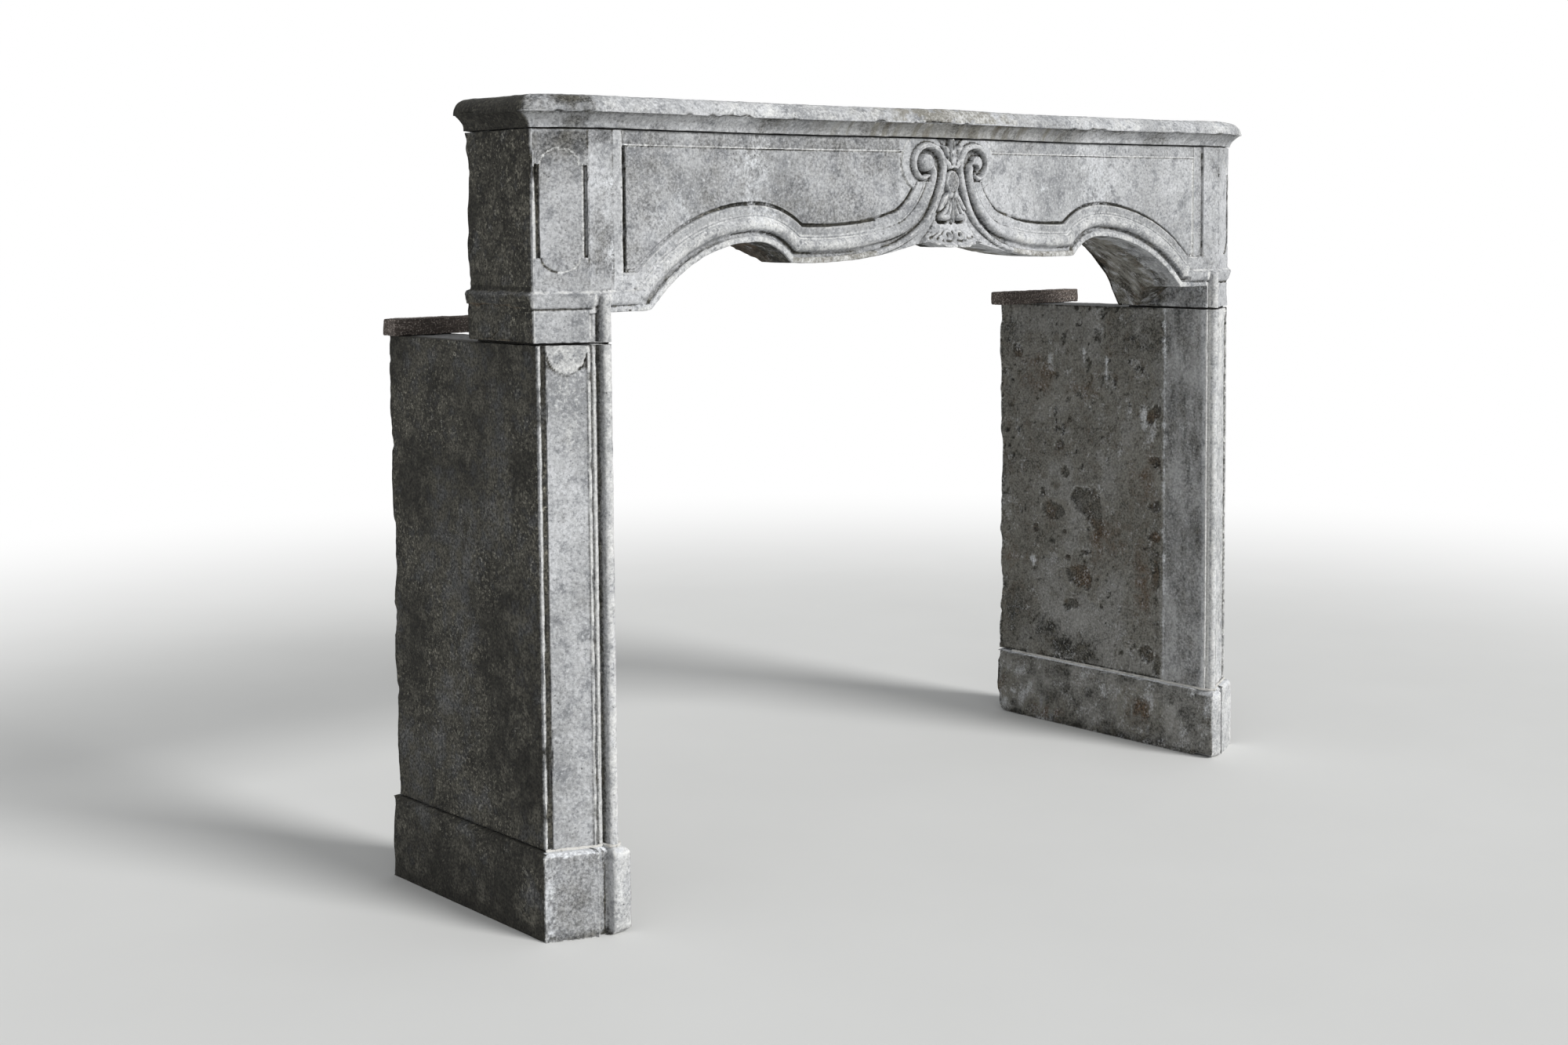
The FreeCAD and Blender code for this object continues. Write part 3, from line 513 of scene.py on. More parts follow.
# relief of the carved middle, outwards from the serpentine plane; the torus runs up into the eye of each volute and
# the fillet runs round it, with the cove between them
def middleRelief(x, z):
    ax, left = np.abs(x), x < 0.0
    gap, side, share = alongPath(ax, z, carving["torus"])
    lip, lipSide, lipShare = alongPath(ax, z, carving["fillet"], 140)
    fromEye = eyeDistance(x, z)
    outer = np.interp(28.0 + gap, bandSteps, bandHeights)
    onFascia = (side > 0) & (gap < 29.5) & (z < 1092.0)
    height = layIn(np.where(side > 0, np.where(gap < 34.0, outer, -6.0), -7.0),
                   ((lipSide < 0) & (lipShare <= 0.72), -4.5),
                   ((lipSide < 0) & (lipShare > 0.72) & (fromEye < carving["ringRadius"]) & ~onFascia, -3.4),
                   ((lipSide > 0) & (fromEye < 31.0), -7.5))
    half = np.interp(share, (0.0, 0.5, 0.75, 1.0), (9.8, 9.0, 7.5, 6.0))
    rise = np.interp(share, (0.0, 0.4, 0.7, 1.0), (4.4, 4.6, 6.0, 6.5))
    height = np.where(gap < half, np.maximum(height, -4.0 + (rise + 4.0) * dome(gap / half)), height)
    half = np.interp(lipShare, (0.0, 0.3, 0.45, 0.58, 0.67, 0.78, 0.88, 0.95, 1.0),
                     (4.4, 4.6, 5.0, 6.0, 5.6, 5.4, 5.0, 4.4, 3.0))
    rise = np.interp(lipShare, (0.0, 0.3, 0.45, 0.6, 0.8, 1.0), (0.0, 0.4, 3.0, 5.5, 6.0, 5.0))
    height = np.where(lip < half, np.maximum(height, -5.0 + (rise + 5.0) * dome(lip / half, 4)), height)
    radius = carving["eyeRadius"] * np.where(x > 0.0, 0.86, 1.0)      # the right eye has lost its boss
    boss = 2.0 + np.where(x > 0.0, 4.5, 9.0) * dome(fromEye / radius)
    height = np.where(fromEye < radius, np.maximum(height, boss), height)
    height = np.where((x > 0.0) & (np.hypot((ax - 54.0) / 7.0, (z - 1115.0) / 5.0) < 1.0), -7.0, height)
    for path in carving["palmette"]:
        height = np.maximum(height, carvedLobe(ax, z, path, 6.2, 12.0, 1.5))
    for path in carving["palmetteSlits"]:
        height -= 5.5 * glow(alongPath(ax, z, path, 16)[0], 0.0, 1.4)
    ovalZ, ovalA, ovalB = carving["oval"]
    pinch = 1.0 + 0.3 * unit((ovalZ - z) / ovalB) ** 2
    oval = np.hypot(x * pinch / ovalA, (z - ovalZ) / ovalB)
    height = layIn(height, (between(oval, 1.0, 1.16), -4.0), (oval < 1.0, 1.0 + 4.0 * dome(oval, 7)))
    # flared shell at the foot, fine lines fanning over its sides
    reach = ax / np.interp(z, *carving["shellWidths"])
    flare = unit((carving["shellTop"] - z) / 44.0)
    fan = np.degrees(np.arctan2(ax, carving["shellHeart"] - z))
    shell = -3.0 + 20.0 * flare ** 1.5 * (1.0 - 0.5 * unit(reach) ** 4)
    lines = np.abs(np.sin(np.radians(fan * 17.0 + 40.0 * np.sin(z * 0.25)))) ** 3 * easeStep(0.28, 0.45, reach)
    shell -= np.where(left, 3.0, 1.0) * lines * easeStep(1016.0, 1004.0, z)
    shell -= 6.0 * glow(ax, 0.0, 1.9) * easeStep(1014.0, 1008.0, z)
    aboveEdge = z - shellEdge(x)
    shell += 3.2 * glow(aboveEdge, 3.2, 2.8) - 3.4 * glow(aboveEdge, 10.5, 3.6)
    height = np.where((reach < 1.0) & (z < carving["shellTop"]), np.minimum(shell, 19.5), height)
    curlX, curlZ, curlRadius = carving["curl"]
    fromCurl = np.hypot(ax - curlX, z - curlZ)
    height = np.where(fromCurl < 12.0, height + 3.4 * glow(fromCurl, curlRadius, 2.0)
                      - np.where(left, 7.5, 4.0) * glow(fromCurl, 0.0, 3.8), height)
    # two leaves fall from under the oval and roll up at their tips
    for path, half, rise in carving["leaves"]:
        height = np.maximum(height, carvedLobe(ax, z, path, half, rise, 2.0))
    height = np.maximum(height, carvedLobe(ax, z, carving["rib"], 3.0, 10.0, 0.0))
    for path in carving["leafSlits"]:
        height -= 6.5 * glow(alongPath(ax, z, path, 20)[0], 0.0, 1.4)
    tipX, tipZ, tipA, tipB = carving["tip"]
    place = np.hypot((ax - tipX) / tipA, (z - tipZ) / tipB)
    under = np.hypot((ax - tipX) / (tipA * 1.08), (z - tipZ + 5.0) / tipB) < 1.0
    height = np.where(under & (place >= 1.0), -7.0, height)
    return np.where(place < 1.0, np.maximum(height, 1.0 + 8.0 * dome(place)), height)


panelRule = dict(half=672.5, top=1139.5, strip=689.0, lip=661.0, stripEnd=687.6)
endPanel = dict(middle=40.0, half=28.0, arcs=((1111.0, 24.0, 1), (981.0, 21.0, -1)))      # level, rise, up or down


# band, then the strip and stile beyond the panel, its sunk edge at the left, the border over it and a hollow strip at
# the right end only
def frontRelief(x, z):
    half, top, strip, lip, stripEnd = panelRule.values()
    ax = np.abs(x)
    distance = archDistance(x, z)
    sunk = distance > 57.2
    height = layIn(np.interp(distance, bandSteps, bandHeights),
                   ((ax > half) & (distance > 44.2), np.where(ax < strip, -1.0, -1.8)),
                   ((x < 9.0 - half) & (ax <= half) & sunk, -12.0),
                   ((ax < half) & (z > top + 0.4), -4.0), ((ax < half) & (z > top + 3.4), -4.4),
                   (between(x, lip, stripEnd) & sunk, np.interp(x - lip, (0.0, 0.7, 2.0, 3.0, 24.6, 25.6),
                                                                (-6.0, -3.4, -3.4, -4.4, -5.2, -6.0))))
    middle = ax < 215.0
    x, ax, z = x[middle], ax[middle], z[middle]
    border = (z > top - 1.6) & (eyeDistance(x, z) > carving["ringRadius"]) & (ax > 30.0)
    carved = np.where(border, height[middle], middleRelief(x, z))
    share = easeStep(165.0, 212.0, ax)
    height[middle] = share * height[middle] + (1.0 - share) * carved
    return height


# astragal and canted panel on the ends
def endRelief(along, z):
    panel = straight = between(along, 0.8, 75.0) & between(z, 981.0, 1111.0)
    for level, rise, way in endPanel["arcs"]:
        ring = ((along - endPanel["middle"]) / endPanel["half"]) ** 2 + ((z - level) / rise) ** 2
        panel = panel | ((way * (z - level) >= 0.0) & (ring < 1.0))
    height = np.interp(z, (906.4, 907.2, 908.6, 909.6, 911.0, 920.0, 929.6, 930.8, 931.6, 932.4),
                       (0.0, -1.8, -1.8, 0.4, 1.4, 3.6, 6.0, 6.0, 4.8, 0.0))
    return layIn(height, (panel & (along >= 0.0), -1.4), (straight & ((along < 5.2) | (along > 69.5)), -5.0))


# fillet and astragal where the band runs level over the imposts
def levelRelief(z):
    return np.interp(z, (901.0, 902.4, 908.2, 909.2, 910.6, 911.6, 914.0, 921.0, 928.0, 930.4, 931.6, 933.2, 940.0,
                         958.0),
                     (-1.2, 0.0, 0.0, -2.6, -2.6, 0.6, 2.6, 3.6, 3.2, 2.6, -0.6, -2.2, -1.8, -1.2))


# an upright wall over a rim, a cap that runs from a rim in to an inner line, and such a cap in to a jamb's middle
def wallGrid(rim, heights, side=1):
    spots = np.broadcast_to(rim * (side, 1.0), (len(heights), *rim.shape[-2:]))
    return np.concatenate([spots, np.broadcast_to(np.array(heights)[:, None, None], (*spots.shape[:2], 1))], -1)


def fanGrid(rim, inner, rows):
    return rim + (inner - rim) * np.linspace(0.0, 1.0, rows)[:, None, None]


def spineCap(rim, side, far, rows):
    middle = np.clip(rim[:, 1], meshRule["capMargin"], far)
    return fanGrid(rim, np.stack([np.full(len(rim), side * layout["spine"]), middle, rim[:, 2]], 1), rows)


lintelRule = dict(
    centreStep=1.45, sideStep=4.4, centreHalf=118.0, blendHalf=180.0, cantSteps=44, sideSteps=24, backColumns=40,
    soffitRows=30, extraX=(659.2, 659.8, 660.8, 661.8, 663.2, 664.1, 672.2, 672.9, 674.0, 685.4, 686.5, 687.4, 687.9,
                           689.6),
    levels=(0.0, 0.8, 1.6, 4.0, 6.5, 8.7, 9.5, 10.3, 12.0, 14.0, 16.0, 17.2, 18.2, 19.2, 20.6, 22.5, 25.0, 28.0, 31.0,
            33.5, 35.2, 36.6, 37.9, 38.7, 39.5, 40.3, 41.1, 41.9, 42.7, 43.5, 44.4, 46.0, 49.0, 52.5, 55.7, 56.5, 57.3,
            58.4, 59.8, 60.9, 62.0),
    fieldRows=((0.0, 0.14, 14), (0.14, 0.84, 25), (0.84, 1.0, 18)),
    borderZ=(1135.5, 1137.4, 1138.0, 1139.4, 1140.2, 1140.9, 1142.6, 1143.4, 1145.4, 1147.4, 1149.4, 1151.4, 1153.4,
             1155.4, 1157.4, 1159.6, 1160.8, 1162.0),
    backCorner=(655.0, 666.0, 684.0, 689.0, 693.0, 696.0, 698.4, 699.4),
    # lime washed blotches: x, z, half sizes, amount
    blotches=((-405.0, 1100.0, 34.0, 70.0, 0.6), (398.0, 1090.0, 40.0, 80.0, 0.6), (250.0, 1085.0, 16.0, 9.0, 0.9),
              (-560.0, 1050.0, 60.0, 40.0, 0.3), (-400.0, 1030.0, 46.0, 22.0, 0.7), (-713.0, 1086.0, 11.0, 12.0, 1.0),
              (-705.0, 1050.0, 7.0, 11.0, 0.8)))


def buildLintel():
    rule = lintelRule
    cantFoot, top, rear = layout["cantFoot"], layout["lintelTop"], layout["lintelBack"]
    coarse = int((cantFoot - rule["centreHalf"]) / rule["sideStep"]) + 1
    half = np.unique(np.concatenate([np.arange(0.0, rule["centreHalf"], rule["centreStep"]),
                                     np.linspace(rule["centreHalf"], cantFoot, coarse), rule["extraX"]]))
    x, depth, outX, outY, along, back = planColumns(half, rule["cantSteps"], rule["sideSteps"]).T
    ax, inside = np.abs(x), np.clip(x, -cantFoot, cantFoot)
    # rows that follow the band, the field and the border; evenly spaced in the carved middle
    band = archHeight(inside, np.array(rule["levels"])[:, None])
    border = np.repeat(np.array(rule["borderZ"])[:, None], len(x), 1)
    share = np.concatenate([np.linspace(*part)[1:] for part in rule["fieldRows"]])
    z = np.vstack([band, band[-1] + (border[0] - 2.0 - band[-1]) * share[:, None], border])
    foot = frontFoot(inside)
    even = foot + (border[0] - foot) * np.linspace(0.0, 1.0, len(z) - len(border) + 1)[:, None]
    blend = easeStep(rule["centreHalf"], rule["blendHalf"], ax)
    z = blend * z + (1.0 - blend) * np.vstack([even[:-1], border])
    relief = frontRelief(np.broadcast_to(x, z.shape).ravel(), z.ravel()).reshape(z.shape)
    ends = endRelief(np.broadcast_to(np.where(back > 0.0, -1.0, along), z.shape), z)
    ends = ends * np.where((ends > 0.0) & (x > 0.0), 1.4, 1.0)          # the right astragal stands out more
    level = easeStep(626.0, 652.0, ax) * (z < 957.5)
    relief = (1.0 - level) * relief + level * levelRelief(z)
    turn = easeStep(716.0, 734.0, ax)
    relief = (1.0 - turn) * relief + turn * ends
    front = np.stack([x + relief * outX, depth + relief * outY, z], -1)
    core = (0.0, 120.0, 1080.0)
    # soffit from the front's lower edge to the back, with the block that hangs behind the shell
    edgeX, edgeY, edgeZ = front[0, back <= 0.0].T
    reach = np.concatenate([[0.0, 0.01, 0.03], np.linspace(0.07, 1.0, rule["soffitRows"] - 3)])[:, None]
    soffitY = edgeY + (rear - edgeY) * reach
    plain = soffitHeight(np.clip(edgeX, -cantFoot, cantFoot), soffitY)
    hang = 1.0 - easeStep(0.3, 0.5, reach)
    soffitZ = plain + np.where(np.abs(edgeX) < carving["shellHalf"], (edgeZ - plain) * hang, 0.0)
    soffitZ[0] = edgeZ
    soffit = np.stack([np.broadcast_to(edgeX, plain.shape), soffitY, soffitZ], -1)
    # back and top
    outer, corner = layout["lintelOuter"], np.array(rule["backCorner"])
    backX = np.unique(np.concatenate([np.linspace(-outer, outer, rule["backColumns"]), corner, -corner]))
    backFoot = np.where(np.abs(backX) > layout["openHalf"], layout["spring"], soffitHeight(backX, rear) - 1.0)
    sideZ = front[:, 0, 2]
    rise = (sideZ - sideZ[0]) / (sideZ[-1] - sideZ[0])
    backZ = backFoot + (top - backFoot) * rise[:, None]
    rough = np.stack([np.broadcast_to(backX, backZ.shape), np.full(backZ.shape, rear), backZ], -1)
    crown = np.stack(np.meshgrid(np.linspace(-804.0, 804.0, 60), np.linspace(34.0, 202.0, 8)), -1)
    crown = np.concatenate([crown, np.full((*crown.shape[:2], 1), top - 0.3)], -1)
    grids = [(front, core), (soffit, (0.0, 120.0, 1200.0)), (rough, core), (crown, core)]
    for _, side, _ in sides:
        grids += impostGrids(side)
    makePiece("lintelStone", "lintel", "limestone", limestone, grids, pushLintel, paintLintel)


def pushLintel(skin):
    x, y, z, ax = skin.places
    inField = (ax < 728.0) & (archDistance(x, z) > 3.0) & (y < 40.0)
    chips = skin.chipped(3.0, 26.0, 21, 0.18) * np.where(inField, 0.8, 6.0)
    rear = easeStep(30.0, 120.0, y) * (np.abs(skin.ny) > 0.7)
    hacked = -rear * (5.0 + 5.0 * skin.noise(60.0, 9)) * easeStep(0.0, 14.0, layout["lintelTop"] - z)
    fade = easeStep(0.0, 10.0, z - archHeight(np.clip(x, -layout["cantFoot"], layout["cantFoot"]), 0.0))
    pits = -2.8 * (ax > 800.0) * unit(skin.noise(16.0, 29, (1.0, 1.0, 0.45)) - 0.3)
    pits = pits - easeStep(80.0, 125.0, y) * (skin.nz < -0.3) * (2.0 + 2.2 * skin.noise(26.0, 33))
    rough = skin.tooled(14.0, 3, 5.0, 5, 0.35, 0.25, 0.4)
    moved = skin.inwards(rough + chips + pits + hacked * np.where(rear > 0.0, fade, 1.0))
    backEdge = easeStep(150.0, layout["lintelBack"], y) * (ax > 780.0)
    moved[:, 1] -= skin.brokenLine(4.0, 7.0, 0.5, 60.0, 15, 14.0) * backEdge
    return moved


def paintLintel(skin):
    x, y, z, ax = skin.places
    left = x < 0.0
    cloud, fleck = skin.noise(70.0, 31), skin.noise(16.0, 37)
    # paler worn arrises; hollows darker, soot and painted shade together
    skin.wear = np.clip(-skin.hollow * 5.0 - 0.14, 0.0, 0.85) * (0.75 + 0.5 * fleck)
    skin.grime = np.clip(skin.hollow * 5.0 - 0.05, 0.0, 0.95)
    distance = archDistance(x, z)
    onFront = (skin.ny < -0.25) & (ax < layout["cantFoot"]) & (y < 45.0)
    onBand = onFront & between(ax, 165.0, 650.0)
    beyond = onFront & (distance > 57.0)
    # painted highlight lines along the quirks and on the torus; soot and painted shade in the cove, the shade deepest
    # where it faces left; painted shade along the step into the panel
    line = 0.8 * glow(distance, 38.0, 1.1) + 0.65 * glow(distance, 43.2, 1.1)
    skin.put(onBand & between(distance, 36.5, 45.0), wear=line * (0.8 + 0.5 * fleck), grime=0.12)
    skin.add(onBand & between(distance, 20.0, 36.0), wear=0.3 + 0.3 * fleck)
    leftFlankShade = 0.2 + 0.8 * easeStep(0.12, -0.3, skin.nx)
    skin.put(onBand & between(distance, 9.2, 19.0), grime=(skin.grime + 0.45) * leftFlankShade)
    skin.put(onBand & between(distance, 56.4, 60.6), grime=np.interp(x, (-600.0, -460.0), (0.35, 1.0)))
    skin.put(onBand & between(distance, 45.0, 56.4), grime=0.16 + 0.12 * cloud)
    fillet = onBand & (distance < 9.2)
    skin.put(fillet, wear=0.35 + 0.4 * fleck)
    # panels, the slot at the left end painted dark as the shadow in it, the hollow strip at the right end painted with
    # shade that deepens to its outer edge, painted highlight lines along both and under the border
    skin.add(onFront & (distance > 60.6) & between(ax, 112.0, 666.0), grime=np.where(left, 0.28, 0.08) + 0.2 * cloud)
    slot = beyond & between(x, -672.8, -663.0) & (z < 1139.0)
    strip = beyond & between(x, 662.9, 688.0)
    shade = np.interp(x, (663.0, 684.0, 685.8, 686.6, 687.4, 688.0), (0.08, 0.34, 0.42, 0.7, 0.7, 0.3))
    skin.put(slot, grime=1.2, wear=0.0)
    skin.put(strip, grime=shade + 0.1 * fleck, wear=0.0)
    skin.put(onFront & between(x, -677.0, -673.0), wear=0.5 + 0.2 * fleck)
    skin.put(beyond & (x > 659.4) & (x <= 662.9) & (z < 1141.0), wear=0.95)
    skin.add(onFront & (z > 1141.5) & (ax > 100.0) & (x < 661.0), grime=0.12)
    line = glow(z, 1140.6, 1.3) * (onFront & (ax > 112.0) & between(x, -668.0, 662.0))
    skin.wear = np.maximum(skin.wear, line * (0.72 + 0.35 * fleck))
    # painted shade along the top of the front, under the shelf
    skin.put(onFront & (z > 1161.0), grime=0.6)
    # reveal of the imposts
    low = (z < 931.0) & (y < 30.0)
    skin.put(low & (ax > 640.0) & (z > 906.0), wear=0.2 * skin.wear)
    paintReveal(skin, fleck, low)
    skin.put(low & (z < 906.0) & between(ax, 723.0, 735.0), wear=0.5 + 0.3 * fleck, grime=0.0)
    # soot and painted shade in the deep hollows of the carving, the light ring round each volute, the cool face of the
    # oval
    carved = onFront & (ax < 150.0)
    sunk = np.zeros(len(x))
    sunk[carved] = unit(-6.2 - middleRelief(x[carved], z[carved]))
    skin.put(carved, grime=skin.grime + 0.5 * sunk, wear=skin.wear * (1.0 - sunk))
    ring = 0.75 * glow(eyeDistance(x, z), 48.6, 1.1) * (onFront & (ax > 92.0))
    skin.wear = np.maximum(skin.wear, ring)
    skin.add(onFront & (np.hypot(x / 11.6, (z - 1091.0) / 17.0) < 1.0), grime=0.5)
    # canted end: painted shade, heavier on the left end, towards the shelf and in a band right under it; channels
    # painted dark as shade, darker on the left, with a painted highlight line beside each; arcs as painted highlight
    # lines, the outer part of the lower arc as a painted shade line
    along = skin.along("lintel")
    onCant = between(ax, 734.6, 808.4) & (skin.ny < -0.5) & (z > 934.0)
    shade = 0.22 * easeStep(1108.0, 1140.0, z + 8.0 * fleck) * (z < 1159.0) + 0.6 * (z > 1160.8)
    skin.put(onCant, grime=np.where(left, 0.3 + shade, 0.06 + 0.5 * shade) + 0.2 * cloud)
    skin.put(onCant & between(along, 2.0, 79.0), wear=0.0)
    tall = onCant & between(z, 980.0, 1112.0)
    skin.put(tall & (between(along, 0.4, 5.5) | between(along, 69.2, 75.4)), grime=np.where(left, 0.78, 0.4))
    skin.put(tall & (between(along, 5.6, 8.0) | (along > 75.6)), wear=0.8)
    for level, rise, way in endPanel["arcs"]:
        ring = np.hypot((along - endPanel["middle"]) / endPanel["half"], (z - level) / rise) - 1.0
        arc = onCant & (way * (z - level) > 0.0)
        dusk = (way < 0) * (along > 44.0)
        light = 0.8 * (1.0 - dusk) * np.exp(-(ring * 18.0) ** 2)
        skin.wear = np.maximum(skin.wear, np.where(arc, light, 0.0))
        skin.add(arc, grime=0.9 * dusk * np.exp(-(ring * 16.0) ** 2))
    # painted highlight along the upper edge of the astragal; dark sides, soot with painted shade, the astragal drawn on
    # them by a painted shade line above it and a lighter band; soot and painted shade under the arch, much deeper on
    # the left, and behind the ledge
    nosing = between(z, 927.5, 936.0) & (ax > 652.0) & (y < 34.0)
    skin.put(nosing, grime=0.2, wear=(0.55 + 0.5 * fleck) * glow(z, 931.4, 2.0))
    outside = (ax > 790.0) & (y > 34.0)
    skin.put(outside, grime=0.9 + 0.14 * cloud, wear=0.0)
    skin.add(outside, grime=0.4 * glow(z, 937.0, 2.4) - 0.2 * glow(z, 929.5, 3.6))
    under = (skin.nz < -0.3) & (y > 20.0) & (ax < layout["cantFoot"])
    skin.add(under, grime=0.3 + 0.24 * easeStep(110.0, 190.0, y) + 0.16 * cloud + 0.5 * fleck)
    skin.add(under & left, grime=0.75)
    fall = (y > 60.0) & (z < 907.0) & (ax < 702.0) & (skin.ny < -0.2)
    rear = skin.ny > 0.5
    inWall = (np.abs(skin.nx) > 0.85) & (ax < 702.0) & (z < 905.0)
    skin.put(fall, grime=0.72 + 0.4 * fleck)
    skin.put(under | fall | rear, wear=0.1 * skin.wear)
    skin.put(inWall, grime=0.5 + 0.45 * fleck + 0.12 * cloud, wear=0.3 * skin.wear)
    skin.add(rear, grime=0.85, rust=0.1 + 0.25 * cloud)
    skin.add((skin.nz < -0.4) & (y > 60.0), rust=np.where(left, 0.5, 0.14) + 0.2 * fleck)
    skin.add(fillet & (ax < 330.0), rust=0.22 + 0.2 * fleck)
    skin.add(fillet, lime=0.2)
    skin.add((under | fall) & (y > 40.0), lime=0.6 * unit(skin.noise(13.0, 163) - 0.3))
    skin.add(inWall, lime=unit(0.2 + 0.8 * fleck) * easeStep(46.0, 12.0, y))
    # lime wash on the stiles and in blotches
    stile = onFront & (ax > 689.0) & (z > 934.0)
    skin.add(stile, lime=0.02 + 0.45 * skin.noise(34.0, 41), grime=np.clip(0.1 + 0.3 * cloud + 0.16 * fleck, 0.0, 0.5))
    for *spot, much in lintelRule["blotches"]:
        skin.add(onFront, lime=much * spotAt(x, z, *spot) * (0.6 + 0.7 * fleck))


# colours of a reveal: a painted highlight on the roll, painted shade in the groove and on the flank beside it, deeper
# on the left, pale fillet and lip
def paintReveal(skin, fleck, where):
    x, y, _, ax = skin.places
    flank = easeStep(717.0, 720.5, ax)
    roll = where & between(ax, 704.5, 721.5) & (y < -3.4)
    skin.put(roll, wear=(0.5 + 0.35 * fleck) * (1.0 - flank), grime=0.3 * flank)
    skin.put(where & (ax >= 722.4) & (ax < 728.2) & (y < 4.9), wear=0.75)
    groove = where & between(ax, 716.0, 722.4) & (y >= -3.4) & (y < 12.0)
    skin.put(groove, grime=np.interp(y, (-3.4, 2.0), (0.3, 0.8)) * np.where(x < 0.0, 1.0, 0.4), wear=0.0)
    skin.put(where & between(ax, 697.0, 706.0) & between(y, -5.0, 2.4), wear=0.75, grime=0.0)


# plan of a reveal: lip, roll, quirk, fillet, groove, from the opening to the foot of the cant
rollRule = dict(radius=8.0, out=7.0, points=15)


def revealLine():
    edge = layout["openHalf"]
    lip, radius = edge + 5.0, rollRule["radius"]
    roll = [(lip + radius + radius * math.cos(a), -rollRule["out"] - radius * math.sin(a))
            for a in np.linspace(math.pi, 0.0, rollRule["points"])]
    return [(edge, 0.0), (edge + 2.5, 0.0), (lip - 0.4, 0.0), (lip + 0.8, 1.6), (lip + 0.6, -2.0), (lip + 0.2, -4.6),
            *roll, (lip + 15.6, -3.0), (lip + 15.8, 0.5), (lip + 16.2, 3.6), (lip + 17.4, 4.6), (722.4, 4.4),
            (722.8, 3.4), (723.6, 3.0), (726.0, 3.0), (727.6, 3.2), (728.2, 4.4), (729.0, 5.4), (731.5, 5.6),
            (734.2, 5.2), (734.8, 3.0), (735.0, 0.6)]


# the block over each jamb, closed by itself, with the roll carried up past the springing line to a rounded end
impostRule = dict(rises=(0.0, 0.8, 2.0, 5.0, 9.0, 14.0, 19.0, 24.0, 29.0, 34.0, 38.0, 41.0, 43.0, 45.0), rollX=712.0,
                  stub=(895.0, 901.0, 908.0, 915.0, 921.0, 924.0, 926.5, 928.4, 929.6, 930.0), stubRound=(921.5, 8.6))


def impostGrids(side):
    edge, outer, rear = layout["openHalf"], layout["lintelOuter"], layout["lintelBack"]
    cantFoot, foot = layout["cantFoot"], layout["lintelFoot"]
    rim = [(edge, y) for y in np.linspace(rear, 8.0, 26)] + revealLine()
    rim += [(cantFoot + (outer - cantFoot) * t, layout["lintelRise"] * t) for t in np.linspace(0.02, 1.0, 30)]
    rim += [(outer, y) for y in np.linspace(38.0, rear, 22)] + [(x, rear) for x in np.linspace(outer, edge, 14)[1:]]
    wall = wallGrid(np.array(rim), foot + np.array(impostRule["rises"]), side)
    core = (side * layout["spine"], 110.0, 880.0)
    rollX, (start, run) = impostRule["rollX"], impostRule["stubRound"]
    heights = np.array(impostRule["stub"])
    stub = []
    for part in dome(unit((heights - start) / run)):
        radius, out = rollRule["radius"] * part, rollRule["out"] * part
        roll = [(rollX + radius * math.cos(a), -out - radius * math.sin(a))
                for a in np.linspace(math.pi, 0.0, rollRule["points"])[::-1]]
        stub.append([(rollX + radius, 3.0), *roll, (rollX - radius, 3.0)])
    return [(wall, core), (spineCap(wall[0], side, 160.0, 6), core),
            (wallGrid(np.array(stub), heights, side), (side * rollX, 0.0, 910.0))]


# cornice shelf: the profile as outset and height, swept round the plan with mitres
shelfRule = dict(
    profile=((-14.0, 1163.5), (-2.0, 1163.5), (1.6, 1163.7), (2.4, 1164.6), (2.6, 1166.4), (3.2, 1168.2), (4.2, 1170.4),
             (5.8, 1173.0), (8.0, 1175.8), (10.8, 1178.6), (13.6, 1181.0), (16.2, 1183.0), (17.8, 1184.4),
             (18.4, 1185.0), (21.4, 1185.2), (22.0, 1185.8), (22.0, 1187.4), (22.0, 1189.0), (21.6, 1191.6),
             (20.8, 1194.4), (19.4, 1197.4), (17.4, 1200.4), (14.8, 1203.4), (11.6, 1206.2), (7.8, 1208.6),
             (3.6, 1210.2), (0.0, 1210.8), (-3.0, 1211.0)),
    step=4.5, cantSteps=20, sideSteps=40, backColumns=70, capRows=14, noseZ=1186.0, lipZ=1187.0, backFoot=1163.0,
    backTop=1211.0, sideMitre=0.647, frontMitre=0.2145)


def buildShelf():
    rule = shelfRule
    half = np.append(np.arange(0.0, layout["cantFoot"] + 1.0, rule["step"])[:-1], layout["cantFoot"])
    x, depth, outX, outY, _, _ = planColumns(half, rule["cantSteps"], rule["sideSteps"]).T
    outset, height = np.array(rule["profile"]).T[..., None]
    wall = np.stack([x + outset * outX, depth + outset * outY, np.repeat(height, len(x), 1)], -1)
    core = (0.0, 110.0, 1190.0)
    grids = [(wall, core), (fanGrid(wall[:, 0], wall[:, -1], rule["backColumns"]).swapaxes(0, 1), core)]
    for rim in (wall[-1], wall[0]):
        inner = np.stack([np.clip(rim[:, 0], -800.0, 800.0), np.full(len(rim), layout["lintelBack"]), rim[:, 2]], 1)
        grids.append((fanGrid(rim, inner, rule["capRows"]), core))
    makePiece("corniceShelf", "mantel_shelf", "limestone", limestone, grids, pushShelf, paintShelf)


def pushShelf(skin):
    rule, z = shelfRule, skin.z
    chips = skin.chipped(3.5, 34.0, 53, 0.22, 0.8 * glow(z, rule["lipZ"], 4.0)) * 5.5
    swell = -np.clip(skin.noise(150.0, 59), -1.0, 1.0) * 0.8 - 0.6
    rear = (skin.ny > 0.7) * easeStep(0.0, 8.0, rule["backTop"] - z) * easeStep(0.0, 8.0, z - rule["backFoot"])
    hacked = -rear * (4.0 + 4.0 * skin.noise(50.0, 61))
    return skin.inwards(skin.tooled(18.0, 43, 6.0, 47) + chips + swell * (skin.nz > 0.2) + hacked)


